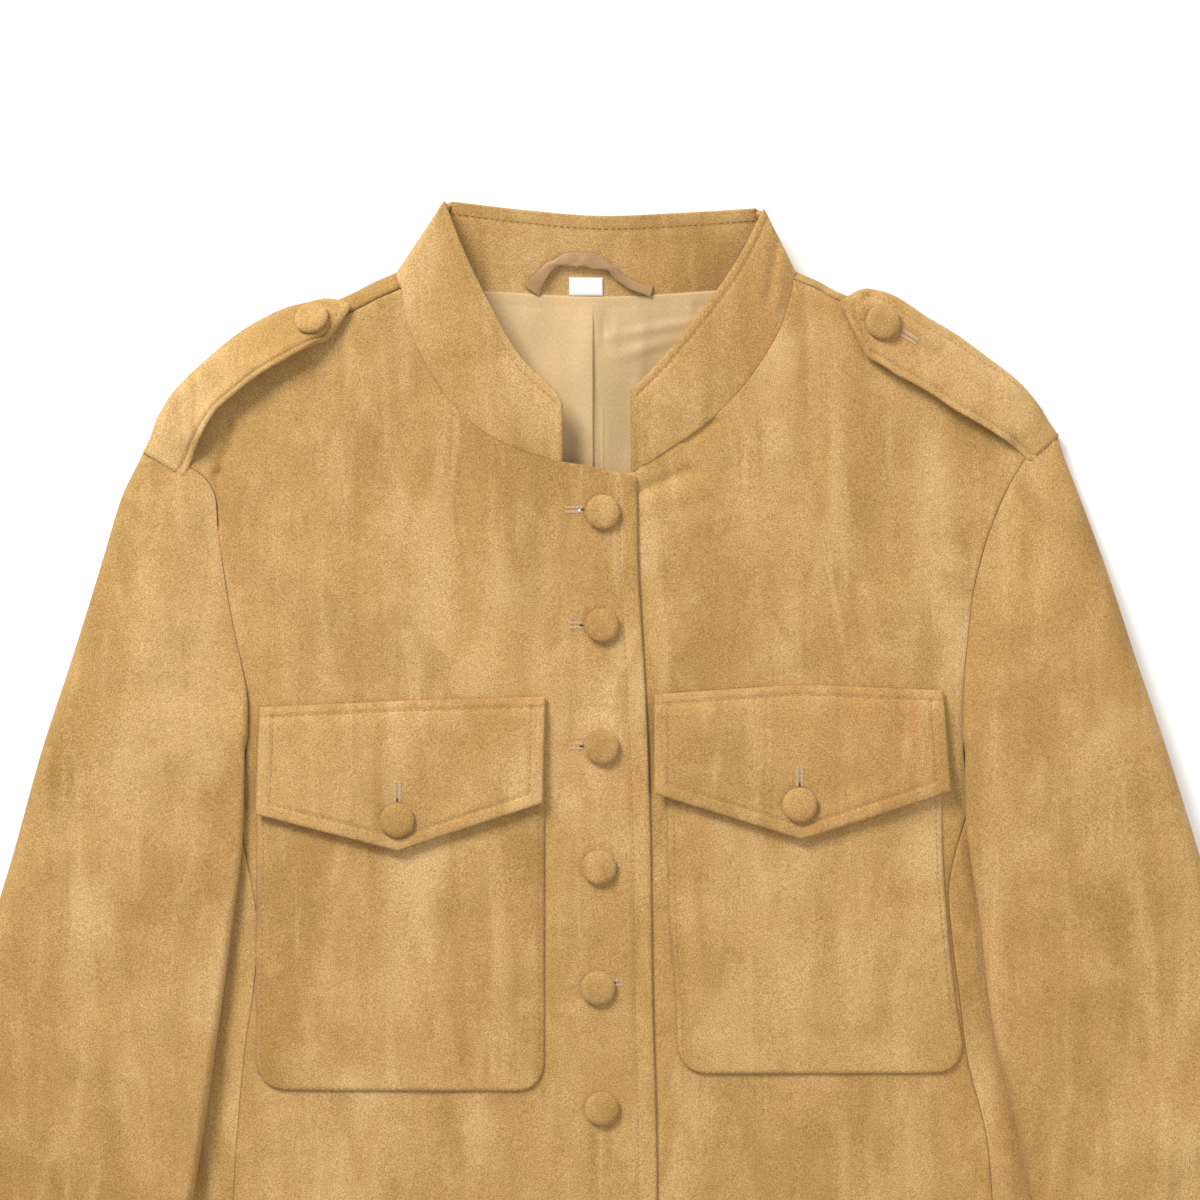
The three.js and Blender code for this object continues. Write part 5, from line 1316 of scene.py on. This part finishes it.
class JACKET_OT_pockets(bpy.types.Operator):
    """Patch pockets and their pointed flaps"""
    bl_idname = "jacket.pockets"
    bl_label = "Pockets and flaps"

    def execute(self, context):
        for side in SIDES:
            edges = POCKETS[side]
            low_left, low_right, low = edges["left"](1.0), edges["right"](1.0), edges["low"]

            def corner_at(point, direction, angle):
                angle = np.asarray(angle, float)
                return np.stack([point[0] + direction * CORNER * (1 - np.cos(angle)),
                                 mix(point[1], low, np.sin(angle))], -1)

            def side_edge(edge, point, direction):
                def read(v):
                    v = np.asarray(v, float)
                    turned = corner_at(point, direction, (math.pi / 4) * clamp((v - 0.85) / 0.15))
                    return np.where((v <= 0.85)[..., None], edge(clamp(v / 0.85)), turned)
                return read

            def bottom_edge(u):
                u = np.asarray(u, float)
                first = corner_at(low_left, 1, (math.pi / 4) * (1 + clamp(u / 0.1)))
                last = corner_at(low_right, -1, (math.pi / 4) * (1 + clamp((1 - u) / 0.1)))
                ends = corner_at(low_left, 1, math.pi / 2), corner_at(low_right, -1, math.pi / 2)
                flat = between(*ends, (u - 0.1) / 0.8)
                out = np.where((u < 0.1)[..., None], first, flat)
                return np.where((u > 0.9)[..., None], last, out)

            shape = patch(lambda u: between(edges["left"](0.0), edges["right"](0.0), u), bottom_edge,
                          side_edge(edges["left"], low_left, 1), side_edge(edges["right"], low_right, -1))
            wide, tall = POCKET_SIZE

            def surface(u, v, side=side, shape=shape):
                flat = shape(u, v)
                x, y = flat[..., 0], flat[..., 1]
                z = front_top(x, y, side) + POCKET_GAP + POCKET_DEPTH
                z = z + POCKET_FULL * np.sin(math.pi * clamp(u)) * np.sin(math.pi * clamp(v) ** 0.7)
                to_edge = np.minimum(np.minimum(u, 1 - u) * wide, (1 - v) * tall)
                z = z + edge_dip(to_edge, 4.4, 1.75) + stitch_groove(to_edge, POCKET_STITCHES, 0.2, 0.8)
                z = z + 0.3 * noise(x, y, 26, 15)
                return np.stack([x, y, z], -1)

            columns, rows = stops(wide, 2.2, 5.0, 5.0, 0.7), stops(tall, 2.4, 2.0, 5.0, 0.7)
            pocket = cloth(f"pocket_{side}_suede", columns, rows, surface, POCKET_DEPTH,
                           suede(f"suede_pocket_{side}", 71 if side == "left" else 72))
            dress(pocket, [f"pocket_{side}"])
            inset = POCKET_STITCHES
            v = np.linspace(0.1, 1 - inset / tall, 160)
            u = np.linspace(inset / wide, 1 - inset / wide, 160)
            for path in (surface(np.full_like(v, inset / wide), v),
                         surface(u, np.full_like(u, 1 - inset / tall)),
                         surface(np.full_like(v, 1 - inset / wide), v)):
                stitch_line("stitches_pockets", path + ABOVE, thick=0.28)

            read, sizes = flap_surface(side)
            rows = stops(sizes[2], 1.5, 6.4, 8.8, 0.7)
            columns = mirrored(stops(sizes[0] / 2, 1.6, 8.4, 1.6, 0.7) / 2)
            flap = cloth(f"flap_{side}_suede", columns, rows, read, DOUBLED,
                         suede(f"suede_flap_{side}", 81 if side == "left" else 82))
            dress(flap, [f"flap_{side}"])
            inset = FLAP_STITCHES / sizes[0]
            v = np.linspace(0.08, 1 - FLAP_STITCHES / sizes[1], 80)
            for edge in (inset, 1 - inset):
                stitch_line("stitches_flaps", read(np.full_like(v, edge), v) + ABOVE)
            paths = ((np.linspace(inset, 1 - inset, 161), False), (np.linspace(0.01, 0.99, 161), True))
            for u, from_top in paths:
                tall_here = mix(sizes[1], sizes[2], 1 - np.abs(2 * u - 1))
                share = FLAP_TOP_STITCHES / tall_here if from_top else 1 - FLAP_STITCHES / tall_here
                stitch_line("stitches_flaps", read(u, share) + ABOVE)
        return {"FINISHED"}


FOLD_ARC = 10.4
STRAP_WIDTH = 31.5
STRAP_LENGTH = 104.0
# Length by which the stitches and the edge at the strap's tip are measured
STRAP_RUN = 75.0
STRAPS = {
    "left": {"low": table([(0, 25), (0.25, 19), (0.55, 20.6), (0.8, 18.6), (1, 18.6)]),
             "high": table([(0, -1), (1, -1.5)]), "tip": 0.83, "roll": 8.0, "button": 0.7,
             "peak": 0.0, "middle": 0.5},
    "right": {"low": table([(0, 21), (0.3, 27.5), (0.55, 30), (0.8, 26), (1, 24)]),
              "high": table([(0, -3), (0.3, 0), (0.55, 2), (0.8, 0), (1, -2)]), "tip": 0.83, "roll": 4.4,
              "button": 0.68, "peak": 3.4, "middle": 0.33},
}


def shoulder_point(side, share, unrolled, out):
    angle = np.where(unrolled < FOLD_ARC, (math.pi / 2) * (1 - unrolled / FOLD_ARC), 0.0)
    depth = np.where(unrolled < FOLD_ARC, BODY_FOLD * (1 - np.sin(angle)), BODY_FOLD + unrolled - FOLD_ARC)
    inward = fold_inward(side, share)
    flat = SHOULDER_FOLD[side](share) + inward * depth[..., None]
    half = loft(flat[..., 0]) / 2
    level = half * (1 + np.cos(angle))
    extra = folds(flat[..., 0], flat[..., 1], BODY_FOLDS)
    level = np.where(angle > 0, level, level + extra * ease(FOLD_ARC, FOLD_ARC + 6, unrolled))
    lean = np.hypot(np.sin(angle) / BODY_FOLD, np.cos(angle) / half)
    away, up = np.sin(angle) / BODY_FOLD / lean, np.cos(angle) / half / lean
    flat = flat - inward * (away * out)[..., None]
    return np.concatenate([flat, (level + up * out)[..., None]], -1)


def strap_surface(side, extra=0.0):
    strap = STRAPS[side]
    length = SHOULDER_FOLD[side].length

    def read(u, v, relief=True):
        u, v = np.broadcast_arrays(np.asarray(u, float), np.asarray(v, float))
        point = np.abs(v - strap["middle"]) * STRAP_WIDTH / length
        share = mix(0.0, strap["tip"] - point, u)
        unrolled = mix(strap["high"](share), strap["low"](share), v)
        free = ease(0.04, 0.3, u) * ease(1, 0.8, u)
        lift = strap["roll"] * ease(0.3, 0.95, v) * ease(0.02, 0.24, u) * ease(1.04, 0.86, u)
        lift = lift + strap["peak"] * bump(u, 0.93, 0.13) * ease(0.5, 0, v)
        lift = lift + 2.2 * bump(unrolled, 2, 9) * free + 0.6 * ease(0.7, 1, u)
        lift = lift - 1.0 * bump(v, 0.5, 0.2) * free
        if relief:
            to_long = np.minimum(v, 1 - v) * STRAP_WIDTH
            to_end = (1 - u) * STRAP_RUN
            lift = lift + edge_dip(np.minimum(to_long, to_end), 2.2, 0.7)
            lift = lift + stitch_groove(to_long, STRAP_STITCHES, 1.2, 0.9) * ease(2.8, 3.8, to_end)
            lift = lift + stitch_groove(to_end, STRAP_STITCHES, 0.9, 0.9) * ease(2.8, 3.8, to_long)
            lift = lift + 0.25 * noise(u * 120, v * 30, 14, 17)
        seat = mix(0.8, SEAM_GAP + 0.35 + DOUBLED, ease(0, 0.14, u))
        spot = shoulder_point(side, share, unrolled, seat + lift + extra)
        # The end runs on over the sleeve head, where it is sewn down.
        fold = SHOULDER_FOLD[side]
        run_out = (fold(0.0) - fold(0.03)) / np.linalg.norm(fold(0.0) - fold(0.03))
        past = 2.6 * ease(0.07, 0.0, u)[..., None] * run_out
        spot[..., :2] = spot[..., :2] + past
        return spot

    return read


class JACKET_OT_straps(bpy.types.Operator):
    """Shoulder straps, sewn in at the sleeve and buttoned near the collar"""
    bl_idname = "jacket.straps"
    bl_label = "Shoulder straps"

    def execute(self, context):
        for side in SIDES:
            read = strap_surface(side)
            columns = stops(STRAP_LENGTH, 1.6, 0.0, 5.6, 0.7)
            rows = mirrored(stops(STRAP_WIDTH / 2, 1.4, 4.9, 0.0, 0.7) / 2)
            piece = cloth(f"epaulette_{side}_suede", columns, rows, read, DOUBLED,
                          suede(f"suede_strap_{side}", 91 if side == "left" else 92, SIGN[side] * -0.6),
                          probe=(0.6, 0.9))
            dress(piece, [f"epaulette_{side}"])
            raised = strap_surface(side, 0.12)
            inset = STRAP_STITCHES / STRAP_WIDTH
            end = 1 - STRAP_STITCHES / STRAP_RUN
            u = np.linspace(0.01, end, 80)
            for v in (inset, 1 - inset):
                stitch_line("stitches_straps", raised(u, np.full_like(u, v)), pitch=2.8, thick=0.28)
            v = np.linspace(inset, 1 - inset, 61)
            stitch_line("stitches_straps", raised(np.full_like(v, end), v), pitch=2.8, thick=0.28)
        return {"FINISHED"}


# Outline of a covered button: share of its radius, share of its height
BUTTON_PROFILE = (
    (0.0, 0.0), (0.84, 0.0), (0.9, 0.05), (0.98, 0.2), (1.0, 0.34), (0.99, 0.48), (0.955, 0.61),
    (0.89, 0.73), (0.79, 0.83), (0.65, 0.905), (0.48, 0.955), (0.3, 0.985), (0.14, 0.997), (0.0, 1.0))


def node_frame(name):
    """Centre of a button's base and its axis, read from its solid in the frame."""
    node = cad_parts[name]
    points = np.array([tuple(vertex.co) for vertex in node.data.vertices])
    points = np.unique(points.round(6), axis=0)
    # The flat base ring is the far end of the shortest axis.
    centre = points.mean(0)
    axes = np.linalg.svd(points - centre, full_matrices=False)[2]
    normal = axes[2] if axes[2][2] > 0 else -axes[2]
    heights = (points - centre) @ normal
    base = points[heights < heights.min() + 1e-4].mean(0)
    return Vector(base), Vector(normal)


def strap_seat(side):
    """Base and axis of a strap button on the middle line of the rolled strap."""
    strap = STRAPS[side]
    read = strap_surface(side)
    u, v = strap["button"] / strap["tip"], strap["middle"]
    spot = lambda a, b: Vector(place(read(np.array([a]), np.array([b]), False))[0])
    along, over = spot(u + 0.03, v) - spot(u - 0.03, v), spot(u, v + 0.16) - spot(u, v - 0.16)
    normal = along.cross(over).normalized()
    if normal.z < 0:
        normal = -normal
    return spot(u, v) + normal * 0.5 * MM, normal


class JACKET_OT_buttons(bpy.types.Operator):
    """Covered buttons on the front, the flaps and the straps"""
    bl_idname = "jacket.buttons"
    bl_label = "Buttons"

    def execute(self, context):
        cover = suede("suede_button", 101)
        names = [f"front_button_{number}" for number in range(1, FRONT_BUTTONS + 1)]
        names += [f"{kind}_button_{side}" for kind in ("flap", "epaulette") for side in SIDES]
        for name in names:
            on_strap = name.startswith("epaulette")
            base, normal = strap_seat(name.rsplit("_", 1)[1]) if on_strap else node_frame(name)
            r, h = BUTTON_RADIUS * MM, BUTTON_HEIGHT * MM
            bm = bmesh.new()
            ring = [bm.verts.new((reach * r, 0, up * h)) for reach, up in BUTTON_PROFILE]
            edges = [bm.edges.new(pair) for pair in zip(ring[:-1], ring[1:])]
            bmesh.ops.spin(bm, geom=ring + edges, axis=(0, 0, 1), cent=(0, 0, 0), steps=40,
                           angle=2 * math.pi, use_merge=True, use_duplicate=False)
            bmesh.ops.remove_doubles(bm, verts=bm.verts, dist=1e-6)
            seed = sum(ord(letter) for letter in name)
            for vertex in bm.verts:
                reach = math.hypot(vertex.co.x, vertex.co.y)
                angle = math.atan2(vertex.co.y, vertex.co.x)
                # Pleats of the cover show where it is gathered under the rim.
                low = max(0.0, 1 - vertex.co.z / (0.5 * h))
                vertex.co.z += 0.00010 * math.sin(3 * angle + seed) * (reach / r)
                if reach > 1e-6:
                    grow = 1 + 0.012 * low * math.sin(9 * angle + seed) * (reach / r)
                    vertex.co.x *= grow
                    vertex.co.y *= grow
            bmesh.ops.recalc_face_normals(bm, faces=bm.faces)
            turn = Vector((0, 0, 1)).rotation_difference(normal).to_matrix().to_4x4()
            bmesh.ops.transform(bm, matrix=Matrix.Translation(base) @ turn, verts=bm.verts)
            piece = mesh_object(f"{name}_cover", bm, cover)
            dress(piece, [name])
        return {"FINISHED"}


# Buttonholes: x, y, whether it runs up, length shown in mm
HOLES = [(-12.0, 42.8, False, 9.0), (-11.4, -12.0, False, 7.0), (-11.2, -69.4, False, 7.0),
         (7.9, -125.0, False, 5.4), (8.3, -181.5, False, 5.4)]


def buttonhole(x, y, upright, length, height, inward):
    """Close stitches either side of a slit; inward is 1 or -1 towards the button along it."""
    along = np.array([0.0, 1.0]) if upright else np.array([1.0, 0.0])
    side = np.array([along[1], along[0]])
    start = np.array([x, y]) - along * length / 2
    pitch = 0.62
    for k in range(int(length / pitch)):
        spot = start + along * (k + 0.5) * pitch
        for way in (-1, 1):
            a, b = spot + side * way * 0.3, spot + side * way * 1.9
            ends = [np.array([*point, float(height(point[0], point[1])) + 0.12]) for point in (a, b)]
            STITCHES.setdefault("stitches_buttonholes", []).append((ends[0], ends[1], 0.26))
    # The slit opens only beside the button's shank; the near-black bar laid there is painted shade in the
    # opening.
    centre = np.array([x, y]) + along * (length / 2 - 1.0) * inward
    ends = [centre - along * 1.1, centre + along * 1.1]
    ends = [np.array([*point, float(height(point[0], point[1])) + 0.1]) for point in ends]
    STITCHES.setdefault("buttonhole_slits", []).append((ends[0], ends[1], 0.42))


class JACKET_OT_stitching(bpy.types.Operator):
    """Topstitching and buttonholes"""
    bl_idname = "jacket.stitching"
    bl_label = "Stitching"

    def execute(self, context):
        colours = bpy.context.scene.jacket_colours
        height = lambda x, y: front_top(np.array([x]), np.array([y]), "left")[0]
        for x, y, upright, length in HOLES:
            buttonhole(x, y, upright, length, height, 1 if x < 0 else -1)
        for side in SIDES:
            x, y = FLAP_BUTTONS[side]
            read, _ = flap_surface(side)
            flap = FLAPS[side]

            def on_flap(px, py):
                u = (px - flap["tl"][0]) / (flap["tr"][0] - flap["tl"][0])
                low = mix(flap["bl"][1], flap["tip"][1], 1 - abs(2 * u - 1))
                v = (py - flap["tm"][1]) / (low - flap["tm"][1])
                return read(np.array([u]), np.array([v]))[0, 2]

            buttonhole(x, y + 13.6, True, 10.0, on_flap, -1)
        # The right strap's buttonhole shows on the sleeve's side of its button.
        read, middle = strap_surface("right", 0.12), STRAPS["right"]["middle"]
        for u in np.arange(0.661, 0.736, 0.0052):
            for way in (-1, 1):
                rows = [np.array([middle + way * off / STRAP_WIDTH]) for off in (0.3, 1.8)]
                ends = [read(np.array([u]), row)[0] for row in rows]
                STITCHES["stitches_buttonholes"].append((ends[0], ends[1], 0.26))
        # A tuft of loose pale thread stands at the top buttonhole.
        tuft = np.array([-9.7, 42.4])
        for angle in (0.2, 0.9, 1.7, 2.4):
            reach = np.array([math.cos(angle), math.sin(angle)]) * 0.9
            ends = [np.array([*spot, height(*spot) + 0.45]) for spot in (tuft - reach, tuft + reach)]
            STITCHES.setdefault("thread_tuft", []).append((ends[0], ends[1], 0.3))
        # The topstitch material is darker than the suede, partly as painted shade of the grooves it lies in.
        thread = plain_cloth("thread_with_painted_groove_shade", colours.thread, 0.8)
        white = plain_cloth("thread_white", colours.label, 0.8)
        pale = plain_cloth("thread_buttonhole", colours.buttonhole, 0.75)
        # The slit bars get a near-black material: painted shade in the buttonhole openings.
        dark = plain_cloth("painted_slit_shade", colours.slit, 0.9)
        kinds = {"stitches_buttonholes": pale, "buttonhole_slits": dark, "thread_tuft": white}
        for group in sorted(STITCHES):
            build_stitches(group, kinds.get(group, thread))
        return {"FINISHED"}


class JACKET_OT_stage(bpy.types.Operator):
    """Pale floor, soft light and the camera above"""
    bl_idname = "jacket.stage"
    bl_label = "Stage"

    def execute(self, context):
        scene = context.scene
        bm = bmesh.new()
        bmesh.ops.create_grid(bm, x_segments=2, y_segments=2, size=4.0)
        material, _, shader = nodes_of("floor_white")
        shader.inputs["Base Color"].default_value = (0.93, 0.93, 0.93, 1.0)
        shader.inputs["Roughness"].default_value = 0.9
        shader.inputs["Emission Color"].default_value = (1.0, 1.0, 1.0, 1.0)
        shader.inputs["Emission Strength"].default_value = 0.12
        floor = mesh_object("floor", bm, material)
        for vertex in floor.data.vertices:
            vertex.co.z = -0.0004

        world = bpy.data.worlds.new("studio")
        scene.world = world
        world.use_nodes = True
        background = world.node_tree.nodes["Background"]
        background.inputs["Color"].default_value = (1.0, 1.0, 1.0, 1.0)
        background.inputs["Strength"].default_value = 0.51

        def lamp(name, where, size, power, aim=(0.0, 0.1, 0.0)):
            light = bpy.data.lights.new(name, "AREA")
            light.shape = "SQUARE"
            light.size = size
            light.energy = power
            item = bpy.data.objects.new(name, light)
            item.location = where
            item.rotation_euler = (Vector(aim) - Vector(where)).to_track_quat("-Z", "Y").to_euler()
            scene.collection.objects.link(item)

        lamp("key", (-1.2, 1.9, 1.7), 0.95, 75.0)
        lamp("fill", (1.8, -0.4, 2.0), 2.0, 18.0)

        # The picture spans this many metres, seen from this far.
        scale, distance = 0.57, 2.4
        camera = bpy.data.cameras.new("camera")
        camera.sensor_width = 36.0
        camera.lens = 36.0 * distance / scale
        camera.clip_end = 20.0
        item = bpy.data.objects.new("camera", camera)
        item.location = (SHIFT_X, SHIFT_Y, distance + 0.012)
        scene.collection.objects.link(item)
        scene.camera = item
        scene.view_settings.view_transform = "Standard"
        return {"FINISHED"}


OPERATORS = (
    JACKET_OT_stage, JACKET_OT_back, JACKET_OT_fronts, JACKET_OT_sleeves, JACKET_OT_collar, JACKET_OT_neck,
    JACKET_OT_pockets, JACKET_OT_straps, JACKET_OT_buttons, JACKET_OT_stitching)


class JACKET_PT_panel(bpy.types.Panel):
    """Settings and pieces of the jacket"""
    bl_idname = "JACKET_PT_panel"
    bl_label = "Jacket"
    bl_space_type = "VIEW_3D"
    bl_region_type = "UI"
    bl_category = "Jacket"

    def draw(self, context):
        for group in (context.scene.jacket_colours, context.scene.jacket_sizes):
            for name in group.bl_rna.properties.keys():
                if name not in ("rna_type", "name"):
                    self.layout.prop(group, name)
        for operator in OPERATORS:
            self.layout.operator(operator.bl_idname)


CLASSES = (JacketColours, JacketSizes, *OPERATORS, JACKET_PT_panel)


def register():
    for item in CLASSES:
        bpy.utils.register_class(item)
    bpy.types.Scene.jacket_colours = bpy.props.PointerProperty(type=JacketColours)
    bpy.types.Scene.jacket_sizes = bpy.props.PointerProperty(type=JacketSizes)


def unregister():
    del bpy.types.Scene.jacket_colours
    del bpy.types.Scene.jacket_sizes
    for item in reversed(CLASSES):
        bpy.utils.unregister_class(item)


def main():
    register()
    for operator in OPERATORS:
        group, name = operator.bl_idname.split(".")
        getattr(getattr(bpy.ops, group), name)()


if __name__ == "__main__":
    main()
